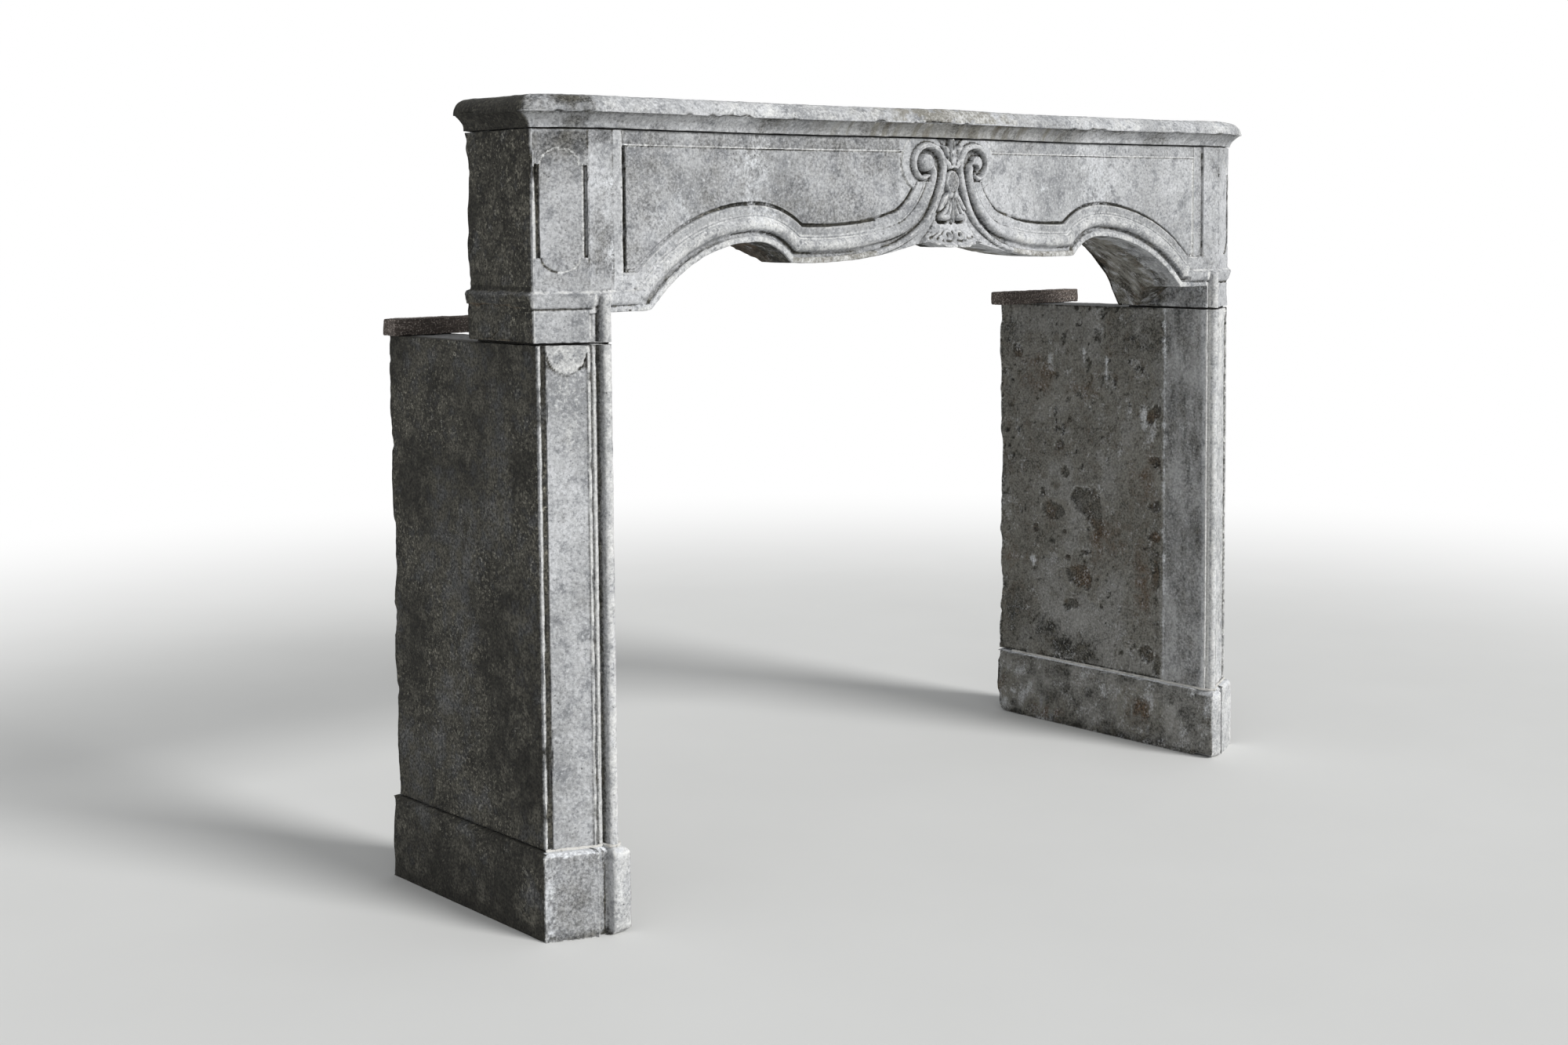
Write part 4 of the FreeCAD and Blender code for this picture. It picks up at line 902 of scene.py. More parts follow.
def paintShelf(skin):
    rule = shelfRule
    x, y, z, ax = skin.places
    cloud, fleck = skin.noise(80.0, 67), skin.noise(14.0, 71)
    runs = skin.noise(11.0, 73, (1.0, 0.0, 0.12))
    nose = unit((z - rule["noseZ"]) / 3.0) * (skin.nz < 0.95)
    # paler worn arrises and nose; hollows darker, soot and painted shade together
    skin.wear = np.maximum(np.clip(-skin.hollow * 5.0 - 0.1, 0.0, 0.7), nose * (0.1 + 0.35 * fleck + 0.25 * cloud))
    skin.grime = np.clip(skin.hollow * 4.0, 0.0, 0.7) + 0.12 * nose
    # the cyma darker towards the nose, painted shade under the overhang, with patches
    cyma = (z < 1185.5) & (skin.ny < 0.5)
    patch = unit(skin.noise(40.0, 75, (1.0, 1.0, 0.6)) - 0.1)
    skin.add(cyma, grime=0.04 + 0.1 * cloud + 0.36 * patch + 0.3 * easeStep(1180.0, 1185.0, z))
    # the left canted end and the sides darkened, soot with painted shade, parted at the mitres; the right end is as
    # clean as the front
    level = skin.nz > 0.96
    sideFrom = layout["lintelRise"] - rule["sideMitre"] * (ax - layout["lintelOuter"])
    onSide = (ax > 800.0) & (y > sideFrom) & ~level
    cant = (ax > layout["cantFoot"] - rule["frontMitre"] * y) & ~level & ~onSide & (x < 0.0)
    darkening = 0.4 + 0.3 * fleck + 0.1 * easeStep(1196.0, 1205.0, z)
    skin.add(cant, grime=np.where(z > rule["noseZ"], darkening, 0.16))
    skin.put(cant, wear=0.15 * skin.wear)
    skin.put(onSide, grime=1.1 + 0.15 * cloud, wear=0.0)
    skin.add(skin.ny > 0.5, grime=0.8)
    skin.add(level, grime=0.3 + 0.25 * cloud + 0.4 * easeStep(780.0, 822.0, ax))
    # rust in runs at the middle, lime wash on the nose
    skin.add(cyma, rust=glow(x, 0.0, 240.0) * (0.05 + 0.22 * unit(runs - 0.1)))
    skin.add(nose > 0.5, rust=0.22 * glow(x, -20.0, 130.0) * (0.6 + fleck))
    skin.add((nose > 0.5) & ~onSide & ~cant, lime=0.04 + 0.32 * cloud)


# jambs: one rim for the whole shaft, relief of the canted panel added row by row
jambRule = dict(rowStep=4.5, cantPoints=44, apronDrop=42.0, apronHalf=30.0, apronMiddle=34.0, panel=(4.0, 64.5),
                channel=(64.5, 71.2))
# broken places of the inner sides: depth, height, half sizes
spalls = dict(
    right=((296, 462, 40, 30), (276, 436, 22, 22), (262, 405, 12, 34), (314, 314, 38, 24), (290, 296, 12, 14),
           (385, 436, 34, 20), (350, 520, 12, 14), (365, 570, 12, 14), (118, 470, 18, 14), (122, 410, 14, 10),
           (125, 555, 16, 14), (136, 640, 12, 14), (120, 655, 12, 12), (430, 395, 8, 10), (350, 395, 8, 9),
           (296, 360, 14, 6), (120, 330, 8, 34), (140, 175, 20, 18), (116, 160, 10, 26), (330, 250, 18, 10),
           (480, 760, 14, 16), (345, 245, 10, 12), (410, 470, 8, 10), (340, 345, 12, 8)),
    left=((300, 420, 30, 40), (360, 240, 26, 24), (150, 520, 14, 12), (210, 640, 10, 16)))
# stains of the inner sides by coat: depth, height, half sizes, amount
stains = dict(
    right=dict(grime=((395, 190, 40, 22, 0.6), (345, 160, 44, 18, 0.7), (285, 155, 26, 28, 0.6),
                      (490, 220, 26, 70, 0.3), (150, 800, 70, 34, 0.4), (118, 330, 12, 90, 0.4),
                      (500, 800, 24, 30, 0.4)),
               rust=((266, 395, 16, 46, 0.7), (421, 705, 34, 42, 0.6), (150, 310, 22, 60, 0.7), (150, 520, 34, 50, 0.5),
                     (383, 434, 26, 16, 0.6), (310, 312, 30, 18, 0.5), (500, 330, 26, 40, 0.4), (300, 690, 40, 30, 0.3),
                     (220, 400, 40, 40, 0.4)),
               lime=((148, 640, 14, 16, 0.9), (130, 605, 8, 14, 0.8), (190, 655, 8, 14, 0.6), (300, 745, 3, 26, 0.7),
                     (245, 740, 4, 26, 0.7), (390, 745, 6, 20, 0.6), (435, 330, 8, 10, 0.7))),
    left=dict(grime=((300, 420, 34, 44, 0.4),), rust=((180, 300, 30, 90, 0.45),)))


def spallMask(skin, word):
    ragged = 0.5 * skin.noise(30.0, 97)
    bowls = [spotAt(skin.y, skin.z, *spot) * (1.0 + ragged) for spot in spalls[word]]
    return np.max([easeStep(0.42, 0.5, bowl) for bowl in bowls], 0)


def pitMask(skin):
    return easeStep(0.68, 0.8, skin.noise(17.0, 95)) * easeStep(-0.2, 0.3, skin.noise(90.0, 96, layers=1))


# less than 1 inside the raised apron at the head of the canted panel
def apronRing(along, z):
    rule = jambRule
    across = (along - rule["apronMiddle"]) / rule["apronHalf"]
    return across ** 2 + ((layout["jambTop"] - z) / rule["apronDrop"]) ** 2


# x, depth and the place along the cant, or -1
def jambRim(depth):
    edge, outer, cantFoot = layout["openHalf"], layout["jambOuter"], layout["cantFoot"]
    run, rise = outer - cantFoot, layout["jambRise"]
    inner = [*np.linspace(depth, 50.0, int((depth - 50.0) / 4.0)), 42.0, 35.0, 27.0, 19.0, 11.0, 5.0]
    rim = [(edge, y, -1.0) for y in inner] + [(x, y, -1.0) for x, y in revealLine()]
    rim += [(cantFoot + run * share, rise * share, share * math.hypot(run, rise))
            for share in np.linspace(0.0, 1.0, jambRule["cantPoints"])]
    rim += [(outer, y, -1.0) for y in np.linspace(38.0, depth, int((depth - 38.0) / 8.0))]
    rim += [(x, depth, -1.0) for x in np.linspace(outer, edge, 16)[1:]]
    return np.array(rim)


def buildJamb(word, side, depth):
    foot, head = layout["jambFoot"], layout["jambTop"]
    rim = jambRim(depth)
    rows = np.concatenate([[foot, foot + 1.2], np.arange(foot + 5.0, head - 50.0, jambRule["rowStep"]),
                           np.arange(head - 50.0, head - 4.0, 3.0), [head - 1.2, head]])
    wall = wallGrid(rim[:, :2], rows)
    along = rim[:, 2]
    panel = between(along, *jambRule["panel"])
    apron = panel & (apronRing(along, wall[..., 2]) < 1.0)
    relief = layIn(np.zeros(wall.shape[:2]), (panel, -2.0), (between(along, *jambRule["channel"]), -4.6), (apron, -0.3))
    run, rise = layout["jambOuter"] - layout["cantFoot"], layout["jambRise"]
    wall[..., 0] += relief * rise / math.hypot(run, rise)
    wall[..., 1] -= relief * run / math.hypot(run, rise)
    wall[..., 0] *= side
    core = (side * layout["spine"], depth * 0.5, 490.0)
    grids = [(wall, core)] + [(spineCap(wall[row], side, depth - meshRule["capMargin"], 8), core) for row in (0, -1)]
    makePiece(word + "JambShaft", word + "_jamb", "limestone", limestone, grids, pushJamb, paintJamb, word, side, depth)


def pushJamb(skin, word, side, depth):
    behind = easeStep(95.0, 118.0, skin.y) * (side * skin.nx < -0.6)
    picked = -behind * (1.6 + 1.6 * skin.noise(24.0, 89, layers=4))
    picked -= behind * (4.5 * spallMask(skin, word) + 2.0 * pitMask(skin))
    picked -= easeStep(60.0, 160.0, skin.y) * (side * skin.nx > 0.6) * (1.0 + 1.2 * skin.noise(36.0, 101))
    chips = skin.chipped(3.0, 30.0, 83 + side, 0.22) * 5.0
    moved = skin.inwards(skin.tooled(16.0, 73 + side, 6.0, 79) + chips + picked)
    moved[:, 1] -= skin.brokenLine(4.5, 6.0, 0.6, 70.0, 103 + side, 14.0) * easeStep(depth - 70.0, depth, skin.y)
    return moved


def paintJamb(skin, word, side, depth):
    _, y, z, ax = skin.places
    cloud, fleck = skin.noise(75.0, 107 + side), skin.noise(15.0, 109)
    runs = skin.noise(10.0, 167 + side, (1.0, 1.0, 0.22))
    # paler worn arrises; hollows darker, soot and painted shade together
    skin.wear = np.where(y < 60.0, np.clip(-skin.hollow * 4.0 - 0.12, 0.0, 0.85),
                         np.clip(-skin.hollow * 3.0 - 0.2, 0.0, 0.5))
    skin.grime = np.clip(skin.hollow * 4.5, 0.0, 0.9)
    # mouldings of the front: pale fillets, a painted highlight on the roll, painted shade in the grooves, much deeper
    # on the left jamb, the right jamb's cant painted paler as lit, a lighter apron at the head
    front = (skin.ny < -0.2) & (y < 40.0)
    along = skin.along("jamb")
    onCant = front & (along > -0.4)
    panel = onCant & between(along, 4.0, 64.0)
    inApron = apronRing(along, z) < 1.0
    dark, pale = (0.85, 0.0) if side < 0 else (0.3, 0.35 + 0.3 * fleck)
    skin.add(onCant, grime=0.1 + 0.12 * cloud, wear=pale)
    skin.put(onCant & between(along, 64.2, 71.4), grime=dark)
    skin.put(onCant & ((along > 71.6) | (along < 4.2)), wear=0.65 + 0.3 * fleck)
    skin.add(panel & inApron, wear=0.4 + 0.3 * fleck)
    skin.add(panel & ~inApron & (z > 822.0), grime=0.5)
    drip = glow(along, jambRule["apronMiddle"], 14.0) * easeStep(640.0, 800.0, z)
    skin.add(onCant & ~inApron, wear=0.45 * drip * (0.7 + 0.8 * runs))
    skin.put(front & between(ax, 728.4, 734.8), grime=0.8 * dark, wear=0.0)
    paintReveal(skin, fleck, y < 30.0)
    # outer side dark, soot with painted shade; inner side lighter along the margin and stained behind it
    skin.put((ax > 786.0) & (y > 32.5), grime=0.9 + 0.14 * cloud, wear=0.3 * skin.wear * (y < 36.0))
    margin = easeStep(102.0, 92.0, y)
    darkening = margin * (0.37 + 0.2 * runs + 0.14 * cloud) + (1.0 - margin) * (0.36 + 0.14 * cloud)
    skin.add((side * skin.nx < -0.5) & (y > 6.0), grime=darkening)
    skin.add(skin.ny > 0.5, grime=0.85)
    skin.add(skin.nz > 0.7, grime=0.5)
    inner = (side * skin.nx < -0.4) & (y > 12.0)
    for coat, spots in stains[word].items():
        for *spot, much in spots:
            skin.add(inner, **{coat: much * spotAt(y, z, *spot) * (0.75 + 0.8 * fleck)})
    broken = np.where(inner & (y > 96.0), spallMask(skin, word), 0.0)
    skin.grime = skin.grime * (1.0 - broken) + broken * (0.74 + 0.14 * fleck)
    skin.rust = skin.rust * (1.0 - 0.5 * broken) + broken * np.clip(0.2 + 0.5 * cloud, 0.0, 0.5)
    skin.lime = skin.lime * (1.0 - broken)
    skin.add(inner & (y > 100.0), grime=0.24 * pitMask(skin))
    skin.add(inner, lime=0.24 * unit(fleck))
    skin.add(inner, lime=glow(y, 99.0, 3.5) * (0.5 + 0.5 * fleck),
             rust=np.where(y > 100.0, np.maximum(0.07 + 0.1 * cloud, 0.06), 0.02))


# plinths: a rim with a rounded nose and a sunk hollow, bevelled ledge on top
plinthRule = dict(inner=690.0, outer=813.0, noseFront=-25.5, noseEnd=723.0, hollowEnd=740.0, hollowDepth=-6.0,
                  cantStart=-12.0, cantEnd=20.8, noseRound=8.0,
                  heights=(0.0, 1.5, 6.0, 14.0, 24.0, 35.0, 46.0, 58.0, 70.0, 82.0, 94.0, 105.0, 114.0, 120.0, 123.4,
                           124.6, 126.4, 128.2, 129.0), ledge=(0.1, 0.8, 2.5, 4.3, 5.4))


def plinthRim(depth):
    rule = plinthRule
    inner, outer, front, noseEnd = rule["inner"], rule["outer"], rule["noseFront"], rule["noseEnd"]
    hollowEnd, cantStart, r = rule["hollowEnd"], rule["cantStart"], rule["noseRound"]
    rim = [(inner, y) for y in np.linspace(depth, -10.0, int((depth + 10.0) / 8.0))]
    rim += [(inner + r - r * math.cos(a), front + r - r * math.sin(a)) for a in np.linspace(0.0, math.pi / 2, 7)]
    rim += [(x, front) for x in np.linspace(700.0, 713.0, 5)]
    rim += [(noseEnd - r + r * math.cos(a), front + r - r * math.sin(a)) for a in np.linspace(math.pi / 2, 0.0, 7)]
    rim += [(noseEnd, -14.0), (noseEnd, -10.0), (noseEnd + 0.5, -6.6)]
    rim += [(x, rule["hollowDepth"]) for x in np.linspace(725.0, 738.0, 6)]
    rim += [(739.4, -6.8), (hollowEnd, -9.0)]
    rim += [(hollowEnd + (outer - hollowEnd) * share, cantStart + (rule["cantEnd"] - cantStart) * share)
            for share in np.linspace(0.0, 1.0, 26)]
    rim += [(outer, y) for y in np.linspace(26.0, depth, int((depth - 26.0) / 8.0))]
    return np.array(rim + [(x, depth) for x in np.linspace(outer, inner, 18)[1:]])


def buildPlinth(word, side, depth):
    rim = plinthRim(depth)
    closed = rim[:-1]
    inward = np.zeros_like(closed)
    for a, b in ((np.roll(closed, 1, axis=0), closed), (closed, np.roll(closed, -1, axis=0))):
        step = b - a
        inward += np.stack([-step[:, 1], step[:, 0]], 1) / np.maximum(np.linalg.norm(step, axis=1, keepdims=True), 1e-6)
    inward /= np.maximum(np.linalg.norm(inward, axis=1, keepdims=True), 1e-6)
    if np.sum(inward * (np.array((layout["spine"], depth / 2)) - closed)) < 0.0:
        inward = -inward
    inward = np.vstack([inward, inward[:1]])
    inward[np.abs(rim[:, 1] - depth) < 0.5] = 0.0
    heights, insets = np.array(plinthRule["heights"]), np.zeros(len(plinthRule["heights"]))
    insets[-len(plinthRule["ledge"]):] = plinthRule["ledge"]
    wall = wallGrid(rim + inward * insets[:, None, None], heights, side)
    core = (side * layout["spine"], depth * 0.5, 65.0)
    grids = [(wall, core)] + [(spineCap(wall[row], side, depth - meshRule["capMargin"], 10), core) for row in (0, -1)]
    makePiece(word + "PlinthBlock", word + "_plinth", "limestone", limestone, grids, pushPlinth, paintPlinth,
              side, depth)


def pushPlinth(skin, side, depth):
    _, y, z, ax = skin.places
    picked = -easeStep(60.0, 140.0, y) * (np.abs(skin.nx) > 0.6) * (0.8 + 0.9 * skin.noise(26.0, 137))
    chips = skin.chipped(3.0, 24.0, 131 + side, 0.12) * 6.0
    moved = skin.inwards(skin.tooled(15.0, 113 + side, 5.0, 127, 0.4, 0.3) + chips + picked)
    moved[:, 1] -= skin.brokenLine(4.0, 5.0, 0.6, 60.0, 139 + side, 12.0) * easeStep(depth - 60.0, depth, y)
    moved[z < 0.5, 2] = 0.0
    # corners worn round: the nose below and above, the back foot of the right block, the nose's inner end
    nose, inEnd = ax < 724.5, y < 20.0
    for axis, start, run, low, rise, where in ((1, -12.0, -13.5, 18.0, -18.0, nose),
                                               (1, -12.0, -13.5, 113.0, 16.0, nose),
                                               (1, depth - 34.0, 34.0, 32.0, -32.0, side > 0),
                                               (0, side * 710.0, side * -20.0, 106.0, 23.0, inEnd),
                                               (0, side * 710.0, side * -20.0, 14.0, -14.0, inEnd)):
        a = np.clip((skin.points[:, axis] + moved[:, axis] - start) / run, 0.0, 1.2)
        b = np.clip((z + moved[:, 2] - low) / rise, 0.0, 1.2)
        past = np.where(where & (a > 0.0) & (b > 0.0), np.maximum(np.hypot(a, b), 1.0), 1.0)
        moved[:, axis] += (a / past - a) * run
        moved[:, 2] += (b / past - b) * rise
    return moved


def paintPlinth(skin, side, depth):
    _, y, z, ax = skin.places
    cloud, fleck, blotch = skin.noise(60.0, 149 + side), skin.noise(13.0, 151), skin.noise(24.0, 157)
    # paler worn arrises; hollows darker, soot and painted shade together
    skin.wear = np.clip(-skin.hollow * 4.5 - 0.1, 0.0, 0.85)
    skin.grime = np.clip(skin.hollow * 4.5, 0.0, 0.85)
    # painted shade on the canted front and in the sunk hollow, with a painted shadow line in its corner, all deeper on
    # the left block; painted highlight on the right block's front
    front = skin.ny < -0.3
    rightBlockLit = 0.0 if side < 0 else 0.3      # share of painted light: the right block's front is painted paler
    skin.add(front & (ax > 740.0), grime=0.3 - 0.9 * rightBlockLit + 0.2 * cloud)
    skin.add(front & (ax < 724.0), wear=0.34 + 0.3 * fleck)
    skin.add(front & (ax > 724.0), wear=rightBlockLit * (1.4 + fleck))
    # outer side dark, soot with painted shade
    outer = ((side * skin.nx > 0.25) & (y > 23.0)) | ((ax > 796.0) & (y > 34.0))
    skin.put(outer, grime=0.92 + 0.14 * cloud, wear=0.1 * skin.wear)
    inner = (side * skin.nx < -0.7) & (ax < 694.0)
    skin.add(inner, grime=0.3 + 0.2 * cloud + 0.5 * unit(blotch))
    skin.put(inner, wear=0.0)
    skin.add(skin.ny > 0.5, grime=0.85)
    hollowShadowLine = glow(ax - 728.0, 2.0 * cloud, 1.6)
    darkening = 0.4 - rightBlockLit + 0.25 * fleck + (0.6 - 1.9 * rightBlockLit) * hollowShadowLine
    skin.put(between(ax, 723.3, 739.8) & (y < 0.0), grime=darkening)
    skin.grime = skin.grime + 0.35 * easeStep(22.0, 0.0, z)
    # rust and lime on the inner side, lime on the ledge and the outer arris
    rust = 0.8 * spotAt(y, z, 150.0, 62.0, 30.0, 24.0)
    skin.add(inner, grime=0.5 * rust * (0.6 + fleck))
    rust += 0.7 * spotAt(y, z, 378.0, 18.0, 40.0, 18.0)
    rust += 0.5 * spotAt(y, z, 520.0, 60.0, 30.0, 20.0)
    skin.put(inner, rust=rust * (0.6 + 1.1 * fleck) + 0.06)
    ledge = (skin.nz > 0.2) & (z > np.where(front, 118.0, 127.0)) & ~outer
    skin.add(ledge, lime=0.95 + 0.4 * fleck)
    skin.add(inner, lime=0.5 * unit(-blotch - 0.3) + 0.3 * unit(fleck - 0.1))
    skin.add(front & (ax > 792.0) & ~outer, lime=(0.35 + 0.7 * fleck) * easeStep(793.0, 808.0, ax))


buildLintel()
buildShelf()
for word, side, depth in sides:
    buildJamb(word, side, depth)
    buildPlinth(word, side, depth)
print("stones built")

# Lime mortar is pale, sandy and crumbly; in the setting joint soot has turned it near black. Lead shims are dull
# grey sheet, the iron dowels flaking rust.
plainLooks = dict(
    limeMortar=dict(base="#CFCDC8", dark="#A19E97", fleck="#E0DFDB", grainMm=3.2, rough=0.95, metal=0.0, bumpMm=0.8),
    sootyMortar=dict(base="#282623", dark="#191816", fleck="#4A4741", grainMm=3.2, rough=0.95, metal=0.0, bumpMm=0.8),
    dullLead=dict(base="#6B6F73", dark="#4C4F53", fleck="#8D9195", grainMm=6.0, rough=0.6, metal=0.6, bumpMm=0.3),
    rustyIron=dict(base="#4A2F20", dark="#241B16", fleck="#7A4A2A", grainMm=4.0, rough=0.85, metal=0.2, bumpMm=0.6))


# lays inks over the base, each where its field runs from low to high
def layInks(tree, look, top, layers):
    colour = inkOf(look["base"])
    for field, low, high, ink in layers:
        colour = overlay(tree, remap(tree, field, low, high, 0.0, top), colour, inkOf(look[ink]))
    return colour


def makePlain(name, look):
    material, tree, shader, spot = newMaterial(name)
    grain = noiseField(tree, spot, look["grainMm"], 4.0, 0.7)
    patch = noiseField(tree, spot, look["grainMm"] / 0.12, 3.0)
    colour = layInks(tree, look, 0.85, ((patch, 0.5, 0.36, "dark"), (grain, 0.46, 0.34, "dark"),
                                        (grain, 0.56, 0.7, "fleck")))
    feed(tree, shader, {"Base Color": colour, "Roughness": look["rough"], "Metallic": look["metal"],
                        "Normal": bumpOf(tree, grain, 0.7, look["bumpMm"])})
    return material


plainMaterials = {name: makePlain(name, look) for name, look in plainLooks.items()}
for node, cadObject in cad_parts.items():
    for ending, name in (("_bed", "limeMortar"), ("_shims", "dullLead"), ("_dowels", "rustyIron")):
        if node.endswith(ending):
            for holder in cadObject.material_slots:
                holder.material = plainMaterials[name]


# a rope of mortar along a line, wobbled, with crumbs clinging to it
def makeMortarTree():
    tree = bpy.data.node_groups.new("mortarRope", "GeometryNodeTree")
    tree.interface.new_socket("Geometry", in_out="INPUT", socket_type="NodeSocketGeometry")
    for label in ("Bead", "Step", "Wobble", "Crumb", "Pitch", "Scatter"):
        tree.interface.new_socket(label, in_out="INPUT", socket_type="NodeSocketFloat")
    tree.interface.new_socket("Seed", in_out="INPUT", socket_type="NodeSocketInt")
    tree.interface.new_socket("Finish", in_out="INPUT", socket_type="NodeSocketMaterial")
    tree.interface.new_socket("Geometry", in_out="OUTPUT", socket_type="NodeSocketGeometry")

    def add(kind, links=None, **settings):
        return addNode(tree, kind, links, **settings).outputs[0]

    def scaled(vector, share):
        return add("ShaderNodeVectorMath", {0: vector, "Scale": share}, operation="SCALE")

    given = addNode(tree, "NodeGroupInput").outputs
    line = add("GeometryNodeMeshToCurve", {"Mesh": given["Geometry"]})
    even = add("GeometryNodeResampleCurve", {"Curve": line, "Length": given["Step"]}, mode="LENGTH")
    ring = add("GeometryNodeCurvePrimitiveCircle", {"Resolution": 8, "Radius": given["Bead"]})
    rope = add("GeometryNodeCurveToMesh", {"Curve": even, "Profile Curve": ring, "Fill Caps": True})
    noise = addNode(tree, "ShaderNodeTexNoise", {"Vector": add("GeometryNodeInputPosition"), "Scale": 150.0,
                                                 "Detail": 3.0}).outputs["Color"]
    centred = add("ShaderNodeVectorMath", {0: noise, 1: (0.5, 0.5, 0.5)}, operation="SUBTRACT")
    rope = add("GeometryNodeSetPosition", {"Geometry": rope, "Offset": scaled(centred, given["Wobble"])})
    # crumbs: a random drift, size and turn each
    draws = []
    for low, high, step in (((-1.0, -1.0, -0.3), (1.0, 1.0, 0.3), 0.0), ((0.35, 0.35, 0.3), (1.3, 1.2, 0.9), 1.0),
                            ((0.0, 0.0, 0.0), (6.28, 6.28, 6.28), 2.0)):
        seed = reckon(tree, "ADD", given["Seed"], step)
        draws.append(add("FunctionNodeRandomValue", {0: low, 1: high, "Seed": seed}, data_type="FLOAT_VECTOR"))
    spots = add("GeometryNodeCurveToPoints", {"Curve": line, "Length": given["Pitch"]}, mode="LENGTH")
    spots = add("GeometryNodeSetPosition", {"Geometry": spots, "Offset": scaled(draws[0], given["Scatter"])})
    crumb = add("GeometryNodeMeshIcoSphere", {"Radius": given["Crumb"], "Subdivisions": 1})
    crumbs = add("GeometryNodeInstanceOnPoints", {"Points": spots, "Instance": crumb, "Rotation": draws[2],
                                                  "Scale": draws[1]})
    both = addNode(tree, "GeometryNodeJoinGeometry")
    for part in (crumbs, rope):
        tree.links.new(part, both.inputs[0])
    solid = add("GeometryNodeRealizeInstances", {"Geometry": both.outputs[0]})
    dressed = add("GeometryNodeSetMaterial", {"Geometry": solid, "Material": given["Finish"]})
    addNode(tree, "NodeGroupOutput", {"Geometry": dressed})
    return tree


mortarTree = makeMortarTree()


def buildMortar(name, line, **sizes):
    mesh = bpy.data.meshes.new(name + "Line")
    mesh.from_pydata(toMetres(line).tolist(), [(k, k + 1) for k in range(len(line) - 1)], [])
    piece = bpy.data.objects.new(name, mesh)
    bpy.context.scene.collection.objects.link(piece)
    rope = piece.modifiers.new("rope", "NODES")
    rope.node_group = mortarTree
    for item in mortarTree.interface.items_tree:
        if item.in_out == "INPUT" and item.name in sizes:
            rope[item.identifier] = sizes[item.name]
    solid = bpy.data.meshes.new_from_object(piece.evaluated_get(bpy.context.evaluated_depsgraph_get()))
    piece.modifiers.clear()
    piece.data = solid
    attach(piece, "root")
    print(name, len(solid.polygons), "faces")


# the bed squeezed out round each jamb's foot, and the packing set back in the joint under the lintel
bedRule = dict(Bead=0.0024, Step=0.003, Wobble=0.0036, Crumb=0.0024, Pitch=0.0055, Scatter=0.003)
packRule = dict(Bead=0.0015, Step=0.004, Wobble=0.0006, Crumb=0.0007, Pitch=0.012, Scatter=0.001)
for word, side, depth in sides:
    foot = [(699.0, depth - 40.0), (699.0, 2.0), (703.5, -12.0), (712.0, -15.0), (720.0, -11.0), (723.0, 3.0),
            (735.0, 1.0), (803.0, 31.5)]
    packing = [(705.0, 190.0), (705.0, 9.0), (708.5, -8.0), (715.5, -8.0), (719.0, 9.0), (734.0, 9.0), (798.0, 37.0),
               (798.0, 190.0)]
    for label, outline, z, look, rule, seed in (("PlinthMortar", foot, 129.6, "limeMortar", bedRule, 17),
                                                ("SettingMortar", packing, 858.5, "sootyMortar", packRule, 29)):
        line = np.array([(side * x, y, z) for x, y in outline])
        buildMortar(word + label, line, Finish=plainMaterials[look], Seed=seed + side, **rule)

# Rough-sawn softwood gone dark brown, coarse fibre along its length with pale torn flecks.
timberLook = dict(base="#4B433E", dark="#231D1A", pale="#7A6E66", fleck="#B0A69F", fibreMm=1.8, fleckMm=2.8)
battenRule = dict(step=3.0, edge=1.6, kerfMm=5.5, sidePoints=10, capRows=8)


def makeTimber(name, look):
    material, tree, shader, spot = newMaterial(name)
    drawn = addNode(tree, "ShaderNodeMapping", {"Vector": spot, "Scale": (0.06, 1.0, 1.0)}).outputs[0]
    fibre = noiseField(tree, drawn, look["fibreMm"], 4.0, 0.6)
    torn = noiseField(tree, spot, look["fleckMm"], 3.0, 0.7)
    colour = layInks(tree, look, 0.9, ((fibre, 0.46, 0.3, "dark"), (fibre, 0.54, 0.7, "pale"),
                                       (torn, 0.54, 0.63, "fleck")))
    feed(tree, shader, {"Base Color": colour, "Roughness": 0.9, "Normal": bumpOf(tree, fibre, 0.8, 0.9)})
    return material


sawnTimber = makeTimber("sawnTimber", timberLook)


def buildBatten(word):
    low, high = (np.array(corner) * 1000.0 - np.array((0.0, layout["frontPlane"], 0.0))
                 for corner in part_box(word + "_batten"))
    rule, span, middle = battenRule, high - low, (low + high) / 2.0
    corners = np.array(((0, 0), (1, 0), (1, 1), (0, 1), (0, 0)))
    ring = [a + (b - a) * t for a, b in zip(corners, corners[1:]) for t in np.linspace(0.04, 0.96, rule["sidePoints"])]
    flat = low[1:] + np.array(ring + ring[:1]) * span[1:]
    spots = np.concatenate([[0.0, rule["edge"]], np.arange(4.0, span[0] - 4.0, rule["step"]),
                            [span[0] - rule["edge"], span[0]]])
    wall = np.zeros((len(spots), len(flat), 3))
    wall[..., 0] = low[0] + spots[:, None]
    wall[..., 1:] = flat
    grids = [(wall, middle)]
    for row in (0, -1):
        wall[row, :, 1:] += (middle[1:] - flat) * 0.05
        grids.append((fanGrid(wall[row], np.array((wall[row, 0, 0], *middle[1:])), rule["capRows"]), middle))
    makePiece(word + "SawnBatten", word + "_batten", "dark_timber", sawnTimber, grids, pushBatten, None)


def pushBatten(skin):
    kerf = np.sin((skin.x + 0.4 * skin.z + 0.3 * skin.y) * 2.0 * math.pi / battenRule["kerfMm"])
    sawn = 0.22 * kerf * (np.abs(skin.nx) < 0.5) + 0.5 * skin.noise(12.0, 173)
    return skin.inwards(sawn - 0.6 + skin.chipped(3.0, 20.0, 179, 0.1) * 3.0)


for word, _, _ in sides:
    buildBatten(word)
print("mortar and battens built")

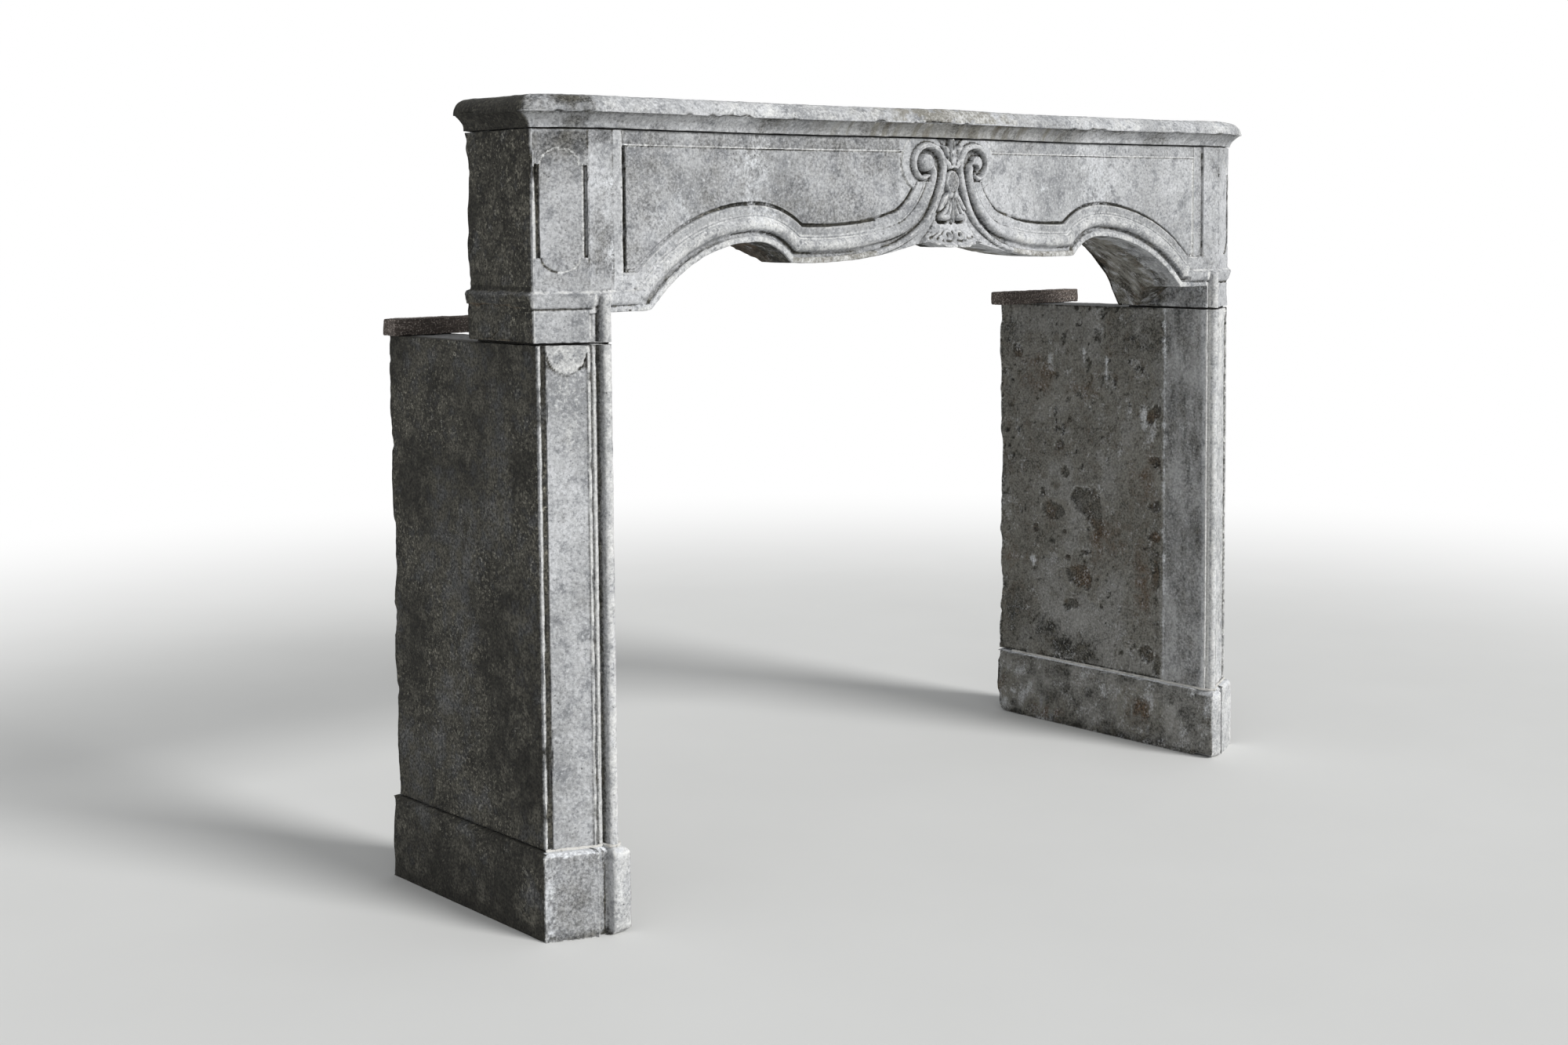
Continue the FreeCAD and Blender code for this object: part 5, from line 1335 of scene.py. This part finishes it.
# floor, light and camera
stageRule = dict(floor="#DEDEDC", floorPale="#E4E4E2", floorScale=3.0, reachM=60.0, dropM=-0.0004, nearM=1.7, farM=4.2,
                 sky="#EEF0F2", skyStrength=0.42,
                 lamps=(("key", 2.7, 20.0, (0.26, -1.0, 0.66)), ("fill", 0.28, 60.0, (-0.9, -0.8, 0.6))))
white = (1.0, 1.0, 1.0, 1.0)


# rays that see the white backdrop, not the light of the room
def backdropRays(tree):
    path = addNode(tree, "ShaderNodeLightPath").outputs
    seen = path["Is Camera Ray"]
    for ray in ("Is Glossy Ray", "Is Transmission Ray"):
        seen = reckon(tree, "ADD", seen, path[ray], use_clamp=True)
    return seen


def mixShaders(tree, share, first, second):
    return addNode(tree, "ShaderNodeMixShader", {0: share, 1: first.outputs[0], 2: second.outputs[0]}).outputs[0]


floorMesh = bpy.data.meshes.new("floorPlane")
reachM = stageRule["reachM"]
floorCorners = [(x * reachM, y * reachM, 0.0) for x, y in ((-1, -1), (1, -1), (1, 1), (-1, 1))]
floorMesh.from_pydata(floorCorners, [], [(0, 1, 2, 3)])
floorPlane = bpy.data.objects.new("floorPlane", floorMesh)
bpy.context.scene.collection.objects.link(floorPlane)
floorPlane.location.z = stageRule["dropM"]
# Pale matt floor, hardly mottled, that passes into the white backdrop some way off.
floorMaterial, floorTree, floorShader, floorSpot = newMaterial("paleFloor")
floorNoise = addNode(floorTree, "ShaderNodeTexNoise", {"Vector": floorSpot, "Scale": stageRule["floorScale"],
                                                       "Detail": 3.0}).outputs["Fac"]
feed(floorTree, floorShader, {"Base Color": overlay(floorTree, floorNoise, inkOf(stageRule["floor"]),
                                                    inkOf(stageRule["floorPale"])),
                              "Roughness": 0.9, "Specular IOR Level": 0.1})
floorFar = addNode(floorTree, "ShaderNodeVectorMath", {0: floorSpot}, operation="LENGTH").outputs["Value"]
floorFade = remap(floorTree, floorFar, stageRule["nearM"], stageRule["farM"], interpolation_type="SMOOTHSTEP")
floorWhite = addNode(floorTree, "ShaderNodeEmission", {"Color": white, "Strength": 1.0})
floorSeen = reckon(floorTree, "MULTIPLY", floorFade, backdropRays(floorTree))
floorMixed = mixShaders(floorTree, floorSeen, floorShader, floorWhite)
feed(floorTree, floorTree.get_output_node("ALL"), {"Surface": floorMixed})
floorMesh.materials.append(floorMaterial)

world = bpy.data.worlds.new("studio")
world.use_nodes = True
bpy.context.scene.world = world
skyTree = world.node_tree
skyTree.nodes.clear()
skyLight, skyWhite = (addNode(skyTree, "ShaderNodeBackground", {"Color": colour, "Strength": strength})
                      for colour, strength in ((inkOf(stageRule["sky"]), stageRule["skyStrength"]), (white, 1.0)))
addNode(skyTree, "ShaderNodeOutputWorld", {"Surface": mixShaders(skyTree, backdropRays(skyTree), skyLight, skyWhite)})

for label, strength, spread, source in stageRule["lamps"]:
    lamp = bpy.data.lights.new(label, "SUN")
    lamp.energy = strength
    lamp.angle = math.radians(spread)
    holder = bpy.data.objects.new(label, lamp)
    length = math.sqrt(sum(v * v for v in source))
    tilt = math.acos(source[2] / length)
    turn = math.atan2(source[1], source[0]) + math.pi / 2
    holder.rotation_euler = Euler((tilt, 0.0, turn))
    bpy.context.scene.collection.objects.link(holder)

cameraRule = dict(place=(-2.4386, -2.5911, 1.0309), yaw=41.498, pitch=4.091, roll=-0.0079, lens=46.66, shiftY=-0.1)
camera = bpy.data.cameras.new("viewer")
camera.sensor_width = 36.0
camera.lens = cameraRule["lens"]
camera.shift_y = cameraRule["shiftY"]
viewer = bpy.data.objects.new("viewer", camera)
aim = Euler((math.radians(90.0 - cameraRule["pitch"]), 0.0, -math.radians(cameraRule["yaw"]))).to_matrix()
aim = aim @ Matrix.Rotation(cameraRule["roll"], 3, "Z")
viewer.matrix_world = Matrix.Translation(cameraRule["place"]) @ aim.to_4x4()
bpy.context.scene.collection.objects.link(viewer)
bpy.context.scene.camera = viewer
bpy.context.scene.view_settings.view_transform = "Standard"
print("stage set")
